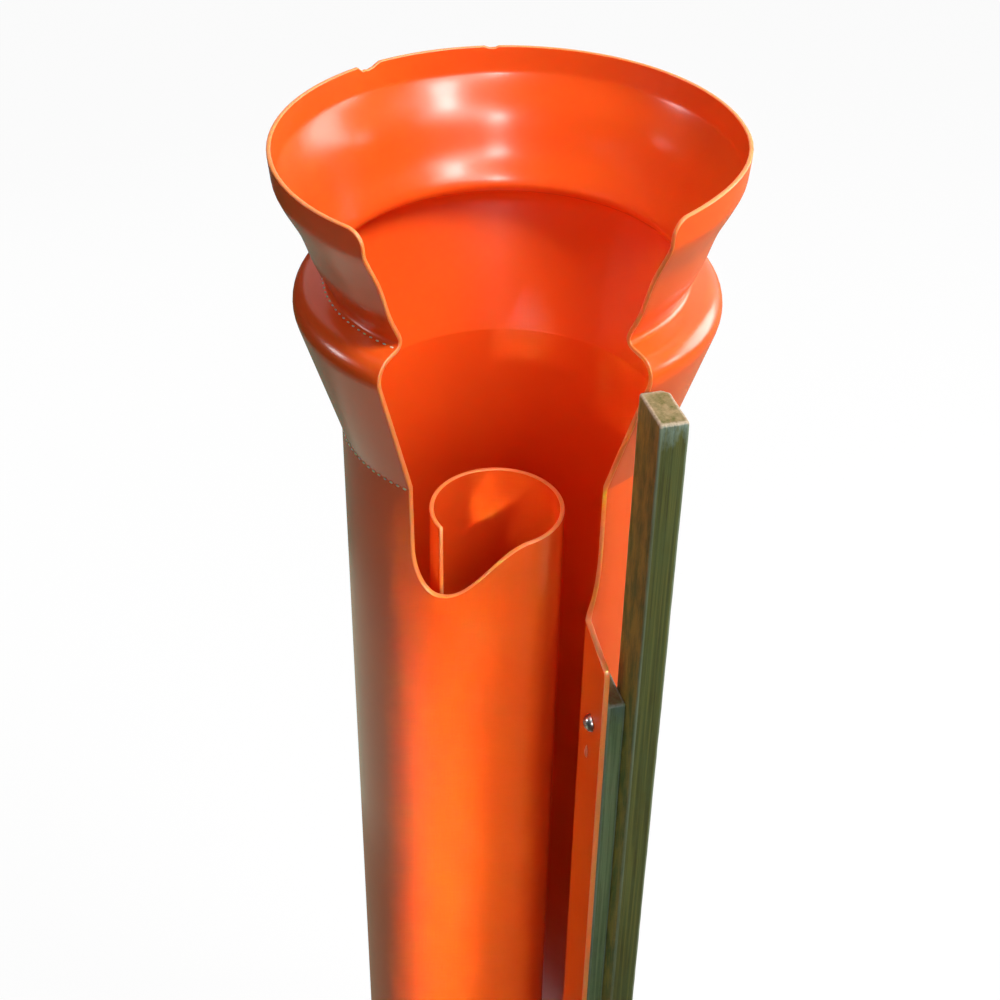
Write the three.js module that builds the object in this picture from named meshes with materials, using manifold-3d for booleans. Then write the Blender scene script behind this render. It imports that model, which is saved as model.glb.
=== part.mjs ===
// Driveway snow marker: a tall orange post of one moulded plastic sheet, rolled round into a tube.
// Its head flares twice, its front is cut open, and one edge of the sheet curls on inside the tube
// as a scroll. The other edge folds out as a flange, screwed through a lath to a timber stake.
// Millimetres and degrees, +Z up. The open front faces -Y, and the foot stands on z = 0.
// Azimuths are counted from -Y towards +X.

import * as THREE from "three";
import { mergeVertices } from "three/addons/utils/BufferGeometryUtils.js";
import Module from "manifold-3d";

const wasm = await Module();
wasm.setup();

// Heights and sheet: the wall is thinner where it was stretched into the rim or curled into the scroll
const totalHeight = 1200;
const sheetThickness = 4;
const rimThickness = 2.8;
const scrollThickness = 3;
const scrollThinning = 40;
const seatGap = 0.3;
const cutOverrun = 5;

// Head, outer surface, heights below the rim
const rimRadius = 150;
const lipDrop = 18.3;
const lipTaper = 1.7;
const waistRadius = 116.5;
const waistDrop = 90.6;
const bulgeRadius = 144.3;
const bulgeDrop = 96.2;
const headDrop = 201.2;
const skirtLength = 6;
const lipBend = 9;
const waistBend = 3;
const bulgeBend = 15;
const creaseBend = 2;

// Tube and front opening: the cut runs from its azimuths at the rim to those at the crease below the head
const tubeRadius = 112;
const rimLeftAzimuth = -33.6;
const rimRightAzimuth = 42;
const creaseLeftAzimuth = -32.6;
const creaseRightAzimuth = 36.6;
const rimCornerRadius = 11;

// Set of the cut rim: its right lobe leans in, in full as far as one azimuth and fading out by another
const rimLean = 7;
const fullLeanAzimuth = 50;
const lastLeanAzimuth = 95;

// Flap below the opening, heights below the rim
const flapLeftAzimuth = -32.3;
const flapCornerDrop = 248;
const flapLowDrop = 282.3;
const flapLowAzimuth = -22.8;
const flapEaseShares = [0.4, 0.37];
const scrollTopDrop = 234;
const scrollLevelAzimuth = 30;

// Scroll
const scrollRadius = 43.9;
const scrollStartAzimuth = -3.4;
const scrollTurn = 308;

// Flange and its fold
const fixingTurn = 16.5;
const flangeOffset = 28;
const foldRadius = 6;
const flangeTopDrop = 307;
const flangeFall = 10;
const flangeCornerRadius = 6;
const flangeLip = 1;
const sweepHeight = 44;
const sweepAzimuth = 36.3;
const sweepShares = [0.55, 0.9, 0.5];

// Timber
const lathThickness = 13;
const lathWidth = 38;
const lathSetback = 3;
const lathTopDrop = 350.6;
const stakeThickness = 19;
const stakeWidth = 38;
const stakeTopDrop = 118;
const arrisRadius = 1.5;

// Screws
const screwCount = 3;
const screwTopDrop = 381;
const screwFootHeight = 60;
const screwHeadRadius = 6;
const screwHeadHeight = 3.4;
const screwShankRadius = 2.5;
const screwLength = 32;
const screwTipLength = 6;
const holeClearance = 0.3;

// Roundness: degrees of arc per facet, facets of small rounds, and the narrowest facet kept on the sheet
const headStep = 5;
const tubeStep = 5;
const scrollStep = 9;
const foldStep = 12;
const bendFacets = 4;
const cornerFacets = 6;
const curveFacets = 14;
const domeFacets = 5;
const holeFacets = 16;
const screwFacets = 18;
const leastFacet = 0.3;

const sheetMaterial = new THREE.MeshStandardMaterial({ color: 0xf2661c, roughness: 0.32, metalness: 0 });
const lathMaterial = new THREE.MeshStandardMaterial({ color: 0x4f5a3a, roughness: 0.8, metalness: 0 });
const stakeMaterial = new THREE.MeshStandardMaterial({ color: 0x565628, roughness: 0.78, metalness: 0 });
const screwMaterial = new THREE.MeshStandardMaterial({ color: 0xc9ccd0, roughness: 0.28, metalness: 1 });

const radians = THREE.MathUtils.degToRad;
const halfSheet = sheetThickness / 2;
const tubeMid = tubeRadius - halfSheet;
const sheetTop = totalHeight - headDrop - skirtLength - seatGap;

// A named mesh with its material.
function piece(name, geometry, material) {
  const mesh = new THREE.Mesh(geometry, material);
  mesh.name = name;
  return mesh;
}

// A closed geometry as a solid that can be cut or joined.
function solidOf(geometry) {
  const bare = new THREE.BufferGeometry();
  bare.setAttribute("position", geometry.getAttribute("position").clone());
  if (geometry.index) bare.setIndex(geometry.index.clone());
  const merged = mergeVertices(bare);
  return new wasm.Manifold(new wasm.Mesh({
    numProp: 3,
    vertProperties: new Float32Array(merged.getAttribute("position").array),
    triVerts: new Uint32Array(merged.index.array),
  }));
}

// A solid back as a flat-shaded geometry.
function geometryOf(solid) {
  const mesh = solid.getMesh();
  const indexed = new THREE.BufferGeometry();
  indexed.setAttribute("position", new THREE.BufferAttribute(mesh.vertProperties, 3));
  indexed.setIndex(new THREE.BufferAttribute(mesh.triVerts, 1));
  const flat = indexed.toNonIndexed();
  flat.computeVertexNormals();
  return flat;
}

// The first geometry less all the others.
function cut(geometry, cutters) {
  return geometryOf(cutters.reduce((left, cutter) => left.subtract(solidOf(cutter)), solidOf(geometry)));
}

// A closed skin through equal loops of points, capped at both ends by the outline's own triangles.
function loft(loops, outline) {
  const around = outline.length;
  const points = loops.flat();
  const faces = [];
  for (let ring = 0; ring + 1 < loops.length; ring += 1) {
    for (let at = 0; at < around; at += 1) {
      const next = (at + 1) % around;
      const here = ring * around;
      const there = here + around;
      faces.push(here + at, there + at, there + next);
      faces.push(here + at, there + next, here + next);
    }
  }
  const last = (loops.length - 1) * around;
  const way = Math.sign(THREE.ShapeUtils.area(outline));
  for (const [a, b, c] of THREE.ShapeUtils.triangulateShape(outline, [])) {
    const same = way * THREE.ShapeUtils.area([outline[a], outline[b], outline[c]]) > 0;
    const [second, third] = same ? [b, c] : [c, b];
    faces.push(a, second, third);
    faces.push(last + a, last + third, last + second);
  }
  const geometry = new THREE.BufferGeometry().setFromPoints(points);
  geometry.setIndex(faces);
  geometry.computeVertexNormals();
  return geometry;
}

// A line through corners, each rounded by its own bend radius, as points with the way they head.
function bentLine(corners) {
  const line = [];
  corners.forEach(({ at, bend }, index) => {
    if (!bend) {
      const other = index ? corners[index - 1].at : corners[1].at;
      const way = index ? at.clone().sub(other) : other.clone().sub(at);
      line.push({ at, way: way.normalize() });
      return;
    }
    const before = at.clone().sub(corners[index - 1].at).normalize();
    const after = corners[index + 1].at.clone().sub(at).normalize();
    const turn = Math.atan2(before.cross(after), before.dot(after));
    const reach = bend * Math.tan(Math.abs(turn) / 2);
    const side = new THREE.Vector2(-before.y, before.x).multiplyScalar(Math.sign(turn) * bend);
    const start = at.clone().addScaledVector(before, -reach);
    const centre = start.clone().add(side);
    for (let facet = 0; facet <= bendFacets; facet += 1) {
      const part = (turn * facet) / bendFacets;
      line.push({
        at: start.clone().rotateAround(centre, part),
        way: before.clone().rotateAround(new THREE.Vector2(), part),
      });
    }
  });
  return line;
}

// The head's outer face from the rim down, as radius and height.
function headFace() {
  const corner = (radius, drop, bend) => ({ at: new THREE.Vector2(radius, totalHeight - drop), bend });
  return bentLine([
    corner(rimRadius, 0, 0),
    corner(rimRadius - lipTaper, lipDrop, lipBend),
    corner(waistRadius, waistDrop, waistBend),
    corner(bulgeRadius, bulgeDrop, bulgeBend),
    corner(tubeRadius, headDrop, creaseBend),
    corner(tubeRadius, headDrop + skirtLength, 0),
  ]);
}

// The head's wall as a closed outline, outer face up and inner face down, its rim lowered by a drop.
function headOutline(rimDrop) {
  const face = headFace();
  const thicknessAt = (height) => THREE.MathUtils.mapLinear(
    height,
    totalHeight - headDrop - skirtLength,
    totalHeight,
    sheetThickness,
    rimThickness,
  );
  const outer = face.map(({ at }) => at.clone());
  const inner = face.map(({ at, way }) => {
    const wall = thicknessAt(at.y);
    return new THREE.Vector2(at.x + way.y * wall, at.y - way.x * wall);
  });
  outer[0].set(rimRadius - (lipTaper * rimDrop) / lipDrop, totalHeight - rimDrop);
  inner[0].set(outer[0].x - rimThickness, outer[0].y);
  inner[inner.length - 1].y = outer[outer.length - 1].y;
  return [...outer.reverse(), ...inner];
}

// A point on a circle about the tube's axis.
function onCircle(radius, azimuth, height) {
  const turn = radians(azimuth);
  return new THREE.Vector3(radius * Math.sin(turn), -radius * Math.cos(turn), height);
}

// How far the head leans in at an azimuth and a height: most at the rim, and nothing from the waist down.
function leanAt(azimuth, height) {
  const above = Math.max(0, 1 - (totalHeight - height) / waistDrop);
  return rimLean * above * (1 - THREE.MathUtils.smoothstep(azimuth, fullLeanAzimuth, lastLeanAzimuth));
}

// The head's sections from the right edge of the cut to the left: each one's share of the way round, and
// how far its rim is lowered to round the corner.
function headSections() {
  const span = radians(360 + rimLeftAzimuth - rimRightAzimuth) * rimRadius;
  const corner = Array.from({ length: cornerFacets }, (_, facet) => {
    const turn = (Math.PI * facet) / (2 * cornerFacets);
    return {
      share: (rimCornerRadius * (1 - Math.cos(turn))) / span,
      rimDrop: rimCornerRadius * (1 - Math.sin(turn)),
    };
  });
  const first = rimCornerRadius / span;
  const steps = Math.round(((360 + rimLeftAzimuth - rimRightAzimuth) * (1 - 2 * first)) / headStep);
  const middle = Array.from({ length: steps + 1 }, (_, step) => ({
    share: first + ((1 - 2 * first) * step) / steps,
    rimDrop: 0,
  }));
  const mirrored = corner.map(({ share, rimDrop }) => ({ share: 1 - share, rimDrop })).reverse();
  return [...corner, ...middle, ...mirrored];
}

// The flared head: the wall's outline turned about the axis, from one side of the opening to the other.
function flaredHead() {
  const loops = headSections().map(({ share, rimDrop }) => headOutline(rimDrop).map(({ x, y }) => {
    const down = Math.min(1, (totalHeight - y) / headDrop);
    const right = THREE.MathUtils.lerp(rimRightAzimuth, creaseRightAzimuth, down);
    const left = THREE.MathUtils.lerp(rimLeftAzimuth, creaseLeftAzimuth, down);
    const azimuth = THREE.MathUtils.lerp(right, 360 + left, share);
    return onCircle(x - leanAt(azimuth, y), azimuth, y);
  }));
  return loft(loops, headOutline(rimCornerRadius));
}

// Where the fold's centre lies: outside the tube's middle line, and beside the flange.
function foldCentre() {
  const across = flangeOffset + halfSheet + foldRadius;
  const out = Math.sqrt((tubeMid + foldRadius) ** 2 - across ** 2);
  return { across, out };
}

const lathBack = foldCentre().out + lathSetback;
const lathFront = lathBack + lathWidth;
const lathLeft = flangeOffset + sheetThickness + seatGap;
const stakeLeft = lathLeft + lathThickness + seatGap;
const foldAzimuth = fixingTurn + THREE.MathUtils.radToDeg(Math.atan2(foldCentre().across, foldCentre().out));

// The sheet's middle line in plan, from the flange's free edge to the scroll's, as straight and round runs.
function sheetRuns() {
  const fold = foldCentre();
  return [
    { length: lathFront + flangeLip - fold.out, turn: 0, step: 0 },
    { radius: foldRadius, turn: -Math.atan2(fold.out, fold.across), step: foldStep },
    { radius: tubeMid, turn: radians(360 + scrollStartAzimuth - foldAzimuth), step: tubeStep },
    { radius: scrollRadius, turn: radians(scrollTurn), step: scrollStep },
  ].map((run) => ({ ...run, length: run.length ?? run.radius * Math.abs(run.turn) }));
}

// The place and heading at a distance along the runs.
function alongSheet(runs, distance) {
  const place = new THREE.Vector2(flangeOffset + halfSheet, -lathFront - flangeLip);
  place.rotateAround(new THREE.Vector2(), radians(fixingTurn));
  let heading = Math.PI / 2 + radians(fixingTurn);
  let left = distance;
  for (const run of runs) {
    const part = Math.min(left, run.length);
    if (run.turn) {
      const side = Math.sign(run.turn);
      const centre = new THREE.Vector2(-Math.sin(heading), Math.cos(heading));
      centre.multiplyScalar(side * run.radius).add(place);
      place.rotateAround(centre, (side * part) / run.radius);
      heading += (side * part) / run.radius;
    } else {
      place.add(new THREE.Vector2(Math.cos(heading), Math.sin(heading)).multiplyScalar(part));
    }
    left -= part;
    if (left <= 0) break;
  }
  return { place, heading };
}

// The sheet's upper edge as it is cut in the flat: distance along the sheet against height.
function upperEdge(runs) {
  const [flange, fold, tube, scroll] = runs.map((run) => run.length);
  const onTube = (azimuth) => flange + fold + tubeMid * radians(azimuth - foldAzimuth);
  const scrollStart = flange + fold + tube;
  const flangeTop = totalHeight - flangeTopDrop;
  const flangeEnd = flangeTop - flangeFall;
  const sweepTop = flangeTop + sweepHeight;
  const rightEdge = onTube(sweepAzimuth);
  const leftEdge = onTube(360 + flapLeftAzimuth);
  const flapCorner = totalHeight - flapCornerDrop;
  const low = totalHeight - flapLowDrop;
  const lowPoint = onTube(360 + flapLowAzimuth);
  const scrollTop = totalHeight - scrollTopDrop;
  const level = scrollStart + scrollRadius * radians(scrollLevelAzimuth - scrollStartAzimuth);
  const [sweepOut, sweepIn, sweepUp] = sweepShares;
  const [easeOut, easeIn] = flapEaseShares.map((share) => share * (level - lowPoint));
  const edge = new THREE.Path();
  edge.moveTo(0, flangeEnd - flangeCornerRadius);
  edge.quadraticCurveTo(0, flangeEnd, flangeCornerRadius, flangeEnd);
  edge.lineTo(flange, flangeTop);
  edge.bezierCurveTo(
    THREE.MathUtils.lerp(flange, rightEdge, sweepOut),
    flangeTop,
    THREE.MathUtils.lerp(flange, rightEdge, sweepIn),
    THREE.MathUtils.lerp(flangeTop, sweepTop, sweepUp),
    rightEdge,
    sweepTop,
  );
  edge.lineTo(onTube(creaseRightAzimuth), sheetTop);
  edge.lineTo(onTube(360 + creaseLeftAzimuth), sheetTop);
  edge.lineTo(leftEdge, flapCorner);
  edge.absellipse(lowPoint, flapCorner, lowPoint - leftEdge, flapCorner - low, Math.PI, 1.5 * Math.PI, false, 0);
  edge.bezierCurveTo(lowPoint + easeOut, low, level - easeIn, scrollTop, level, scrollTop);
  edge.lineTo(scrollStart + scroll, scrollTop);
  const kept = [];
  for (const point of edge.getPoints(curveFacets)) {
    if (!kept.length || point.x - kept[kept.length - 1].x > leastFacet) kept.push(point);
  }
  return kept;
}

// The height of a line of points at a distance along it.
function heightAt(points, distance) {
  const after = Math.max(1, points.findIndex(({ x }) => x >= distance));
  const [a, b] = [points[after - 1], points[after]];
  return THREE.MathUtils.mapLinear(distance, a.x, b.x, a.y, b.y);
}

// Every distance where the sheet gets a section: each point of its edge, and each facet of each run.
function sheetStations(runs, edge) {
  const stations = edge.map(({ x }) => x);
  let start = 0;
  for (const run of runs) {
    const facets = run.step ? Math.ceil(Math.abs(run.turn) / radians(run.step)) : 1;
    for (let facet = 0; facet < facets; facet += 1) {
      const at = start + (run.length * facet) / facets;
      if (edge.every(({ x }) => Math.abs(x - at) > leastFacet)) stations.push(at);
    }
    start += run.length;
  }
  return stations.sort((a, b) => a - b);
}

// Half the sheet's thickness at a distance along it: it thins where the scroll begins.
function halfWallAt(runs, distance) {
  const scrollStart = runs[0].length + runs[1].length + runs[2].length;
  const thinned = THREE.MathUtils.smoothstep(distance, scrollStart, scrollStart + scrollThinning);
  return THREE.MathUtils.lerp(sheetThickness, scrollThickness, thinned) / 2;
}

// The rolled sheet: flange, fold, tube wall, flap and scroll in one run, with the flange's holes.
function rolledSheet() {
  const runs = sheetRuns();
  const edge = upperEdge(runs);
  const loops = sheetStations(runs, edge).map((distance) => {
    const { place, heading } = alongSheet(runs, distance);
    const out = new THREE.Vector2(Math.sin(heading), -Math.cos(heading));
    out.multiplyScalar(halfWallAt(runs, distance));
    const top = heightAt(edge, distance);
    return [
      new THREE.Vector3(place.x + out.x, place.y + out.y, 0),
      new THREE.Vector3(place.x + out.x, place.y + out.y, top),
      new THREE.Vector3(place.x - out.x, place.y - out.y, top),
      new THREE.Vector3(place.x - out.x, place.y - out.y, 0),
    ];
  });
  const outline = [[0, 0], [0, 1], [1, 1], [1, 0]].map(([x, y]) => new THREE.Vector2(x, y));
  const holes = screwHeights().map((height) => {
    const hole = screwHole(flangeOffset - cutOverrun, lathLeft + cutOverrun, height);
    return hole.rotateZ(radians(fixingTurn));
  });
  return cut(loft(loops, outline), holes);
}

// The screws' heights, evenly spaced from the one that shows down to the foot's.
function screwHeights() {
  const top = totalHeight - screwTopDrop;
  const spacing = (top - screwFootHeight) / (screwCount - 1);
  return Array.from({ length: screwCount }, (_, index) => top - spacing * index);
}

// A round hole across the fixing stack, from one offset to another.
function screwHole(from, to, height) {
  const radius = screwShankRadius + holeClearance;
  const hole = new THREE.CylinderGeometry(radius, radius, to - from, holeFacets);
  hole.rotateZ(Math.PI / 2);
  return hole.translate((from + to) / 2, -(lathBack + lathFront) / 2, height);
}

// A planed length of timber with eased arrises: its left, back, thickness, width and length.
function timber(left, back, thickness, width, length) {
  const shape = new THREE.Shape();
  const right = left + thickness;
  const front = -(back + width);
  const r = arrisRadius;
  shape.absarc(right - r, front + r, r, -Math.PI / 2, 0);
  shape.absarc(right - r, -back - r, r, 0, Math.PI / 2);
  shape.absarc(left + r, -back - r, r, Math.PI / 2, Math.PI);
  shape.absarc(left + r, front + r, r, Math.PI, 1.5 * Math.PI);
  shape.closePath();
  return new THREE.ExtrudeGeometry(shape, { depth: length, bevelEnabled: false, curveSegments: bendFacets });
}

// The lath between flange and stake, drilled right through.
function lath() {
  const length = totalHeight - lathTopDrop;
  const holes = screwHeights().map((height) => (
    screwHole(lathLeft - cutOverrun, lathLeft + lathThickness + cutOverrun, height)
  ));
  return cut(timber(lathLeft, lathBack, lathThickness, lathWidth, length), holes);
}

// How far out the stake's back stands, so that its top corner just clears the bulge's underside.
function stakeBack() {
  const share = (stakeTopDrop - bulgeDrop) / (headDrop - bulgeDrop);
  const under = THREE.MathUtils.lerp(bulgeRadius, tubeRadius, share) + seatGap;
  return Math.sqrt(under ** 2 - stakeLeft ** 2);
}

// The stake, with a blind hole for each screw's point.
function stake() {
  const length = totalHeight - stakeTopDrop;
  const holeEnd = flangeOffset - seatGap + screwLength + holeClearance;
  const holes = screwHeights().map((height) => screwHole(stakeLeft - cutOverrun, holeEnd, height));
  return cut(timber(stakeLeft, stakeBack(), stakeThickness, stakeWidth, length), holes);
}

// A screw lying along +X from the underside of its domed head.
function screw() {
  const dome = new THREE.Path();
  dome.absellipse(0, 0, screwHeadRadius, screwHeadHeight, -Math.PI / 2, 0, false, 0);
  const head = dome.getPoints(domeFacets);
  const outline = [
    ...head,
    new THREE.Vector2(screwShankRadius, 0),
    new THREE.Vector2(screwShankRadius, screwLength - screwTipLength),
    new THREE.Vector2(0, screwLength),
  ];
  outline[0].x = 0;
  const body = new THREE.LatheGeometry(outline, screwFacets);
  return body.rotateZ(-Math.PI / 2);
}

// The whole marker, with its foot on the ground and its box centred on the origin.
function buildMarker() {
  const marker = new THREE.Group();
  marker.add(piece("flared_head", flaredHead(), sheetMaterial));
  marker.add(piece("rolled_sheet", rolledSheet(), sheetMaterial));
  const fixing = new THREE.Group();
  fixing.rotation.z = radians(fixingTurn);
  fixing.add(piece("lath", lath(), lathMaterial));
  fixing.add(piece("stake", stake(), stakeMaterial));
  screwHeights().forEach((height, index) => {
    const fastener = piece(`screw_${index + 1}`, screw(), screwMaterial);
    fastener.position.set(flangeOffset - seatGap, -(lathBack + lathFront) / 2, height);
    fixing.add(fastener);
  });
  marker.add(fixing);
  const box = new THREE.Box3().setFromObject(marker, true);
  const centre = box.getCenter(new THREE.Vector3());
  marker.position.set(-centre.x, -centre.y, 0);
  return marker;
}

export default buildMarker();
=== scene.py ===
"""Looks of the driveway snow marker: one moulded orange sheet on a lath and a stake, with its screws.

Lengths in the dataclasses are millimetres and angles are degrees, as a maker would write them. Only
lamps, the floor's radius and the camera's sight are in metres, the unit that Blender itself works in.
Azimuths are counted from the open front (-Y) towards +X.
FIXING_TURN is how far the flange, the timber and the screws are turned about the tube's axis.
PATTERN_IN_MM scales a place in metres to millimetres, for patterns given by their real size.
"""

from __future__ import annotations

import logging
import math
from dataclasses import dataclass, field
from enum import Enum
from typing import Any, Callable, Iterable, Sequence

import bmesh
import bpy
from mathutils import Matrix, Vector, noise
from mathutils.geometry import delaunay_2d_cdt


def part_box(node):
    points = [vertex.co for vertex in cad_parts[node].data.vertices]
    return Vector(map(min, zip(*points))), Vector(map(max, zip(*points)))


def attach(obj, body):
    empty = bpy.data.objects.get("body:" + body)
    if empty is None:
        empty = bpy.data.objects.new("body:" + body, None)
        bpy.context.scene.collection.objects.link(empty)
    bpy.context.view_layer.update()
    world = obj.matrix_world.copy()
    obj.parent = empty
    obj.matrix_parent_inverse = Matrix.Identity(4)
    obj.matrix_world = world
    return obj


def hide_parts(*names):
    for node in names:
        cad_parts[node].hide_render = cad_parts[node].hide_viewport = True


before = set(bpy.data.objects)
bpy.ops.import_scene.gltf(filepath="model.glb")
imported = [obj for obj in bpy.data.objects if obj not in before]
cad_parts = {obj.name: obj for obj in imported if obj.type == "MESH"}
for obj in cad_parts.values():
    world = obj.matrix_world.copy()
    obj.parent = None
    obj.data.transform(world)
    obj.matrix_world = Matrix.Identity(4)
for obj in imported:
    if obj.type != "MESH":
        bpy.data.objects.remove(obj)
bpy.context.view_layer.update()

MM = 0.001
PATTERN_IN_MM = (1 / MM,) * 3
FIXING_TURN = 16.5
LOG = logging.getLogger("snow_marker")
Socket = bpy.types.NodeSocket
Point = tuple[float, float]


# Small helpers


def linear(hex_colour: str) -> tuple[float, float, float, float]:
    """Turns an sRGB hex colour into the linear colour that shaders take.

    Args:
        hex_colour: Six hex digits with a leading hash.

    Returns:
        Linear red, green, blue and an alpha of one.
    """
    digits = hex_colour.lstrip("#")
    values = [int(digits[i : i + 2], 16) / 255 for i in (0, 2, 4)]
    straight = [v / 12.92 if v <= 0.04045 else ((v + 0.055) / 1.055) ** 2.4 for v in values]
    return (*straight, 1.0)


def add(
    tree: bpy.types.NodeTree,
    kind: str,
    inputs: dict[str | int, Any] | None = None,
    stops: Sequence[tuple[float, str]] = (),
    **settings: Any,
) -> bpy.types.Node:
    """Adds one shader node with its settings and links.

    Args:
        tree: The node tree that gets the node.
        kind: Blender's name of the node type.
        inputs: Values or output sockets by input name or number.
        stops: Places and sRGB hex colours, for a node with a colour ramp.
        settings: The node's own properties.

    Returns:
        The new node.
    """
    node = tree.nodes.new(kind)
    for name, value in settings.items():
        setattr(node, name, value)
    for number, (place, colour) in enumerate(stops):
        elements = node.color_ramp.elements
        stop = elements[number] if number < len(elements) else elements.new(place)
        stop.position = place
        stop.color = linear(colour)
    for key, value in (inputs or {}).items():
        if isinstance(value, Socket):
            tree.links.new(value, node.inputs[key])
        else:
            node.inputs[key].default_value = value
    return node


def lerp(a: float, b: float, t: float) -> float:
    """Blends two numbers."""
    return a + (b - a) * t


def smoothstep(value: float, low: float, high: float) -> float:
    """Rises smoothly from 0 at low to 1 at high."""
    t = min(1.0, max(0.0, (value - low) / (high - low)))
    return t * t * (3 - 2 * t)


def mesh_object(
    name: str,
    points: Iterable[Vector],
    faces: Iterable[Sequence[int]],
    smooth: bool = True,
) -> bpy.types.Object:
    """Makes a mesh object from points in millimetres.

    Args:
        name: The object's name.
        points: Vertex places in millimetres.
        faces: Vertex numbers of each face.
        smooth: Whether the faces are shaded smooth.

    Returns:
        The object, linked to the scene.
    """
    mesh = bpy.data.meshes.new(name)
    mesh.from_pydata([Vector(p) * MM for p in points], [], [tuple(f) for f in faces])
    mesh.validate()
    tidy = bmesh.new()
    tidy.from_mesh(mesh)
    bmesh.ops.recalc_face_normals(tidy, faces=tidy.faces)
    tidy.to_mesh(mesh)
    tidy.free()
    mesh.polygons.foreach_set("use_smooth", [smooth] * len(mesh.polygons))
    made = bpy.data.objects.new(name, mesh)
    bpy.context.scene.collection.objects.link(made)
    return made


def ring_numbers(first: int, around: int, count: int) -> list[range]:
    """Numbers the points of rings that follow each other."""
    return [range(first + ring * around, first + (ring + 1) * around) for ring in range(count)]


def ring_faces(rings: Sequence[Sequence[int]]) -> list[tuple[int, ...]]:
    """Joins closed rings of points, each to the next, with four-sided faces.

    Args:
        rings: The point numbers of each ring, equally many.

    Returns:
        The faces.
    """
    faces = []
    for lower, upper in zip(rings, rings[1:]):
        for step, here in enumerate(lower):
            after = (step + 1) % len(lower)
            faces.append((here, lower[after], upper[after], upper[step]))
    return faces


def in_fixing_frame(axis: Vector, seat: Vector, points: Iterable[Vector]) -> list[Vector]:
    """Sets a piece down in the turned frame of the flange, the timber and the screws.

    Args:
        axis: The tube's axis at floor level.
        seat: Where the piece's own origin goes before the turn.
        points: The piece's points.

    Returns:
        The points in their place.
    """
    spin = Matrix.Rotation(math.radians(FIXING_TURN), 3, "Z")
    return [axis + spin @ (seat + point) for point in points]


def new_material(name: str) -> tuple[bpy.types.Material, bpy.types.NodeTree, bpy.types.Node]:
    """Starts a material.

    Args:
        name: The material's name.

    Returns:
        The material, its node tree and its main shader.
    """
    material = bpy.data.materials.new(name)
    material.use_nodes = True
    tree = material.node_tree
    return material, tree, tree.nodes["Principled BSDF"]


def paint(made: bpy.types.Object, layer: str, values: Sequence[float]) -> None:
    """Stores one number per vertex under a layer name for the materials to read.

    Args:
        made: The object whose mesh gets the layer.
        layer: The layer's name.
        values: One value for each vertex.
    """
    attribute = made.data.attributes.new(layer, "FLOAT", "POINT")
    attribute.data.foreach_set("value", list(values))


def mount(made: bpy.types.Object, material: bpy.types.Material, slot: str, *nodes: str) -> None:
    """Gives a piece its material and body, and says what it stands for.

    Args:
        made: The piece.
        material: Its finish.
        slot: The record's material slot; not used.
        nodes: The CAD nodes that it stands for.
    """
    made.data.materials.clear()
    made.data.materials.append(material)
    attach(made, "root")
    if nodes:
        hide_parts(*nodes)
    LOG.info("%s: %d faces for %s", made.name, len(made.data.polygons), ", ".join(nodes) or "no node")


# Finishes


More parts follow.
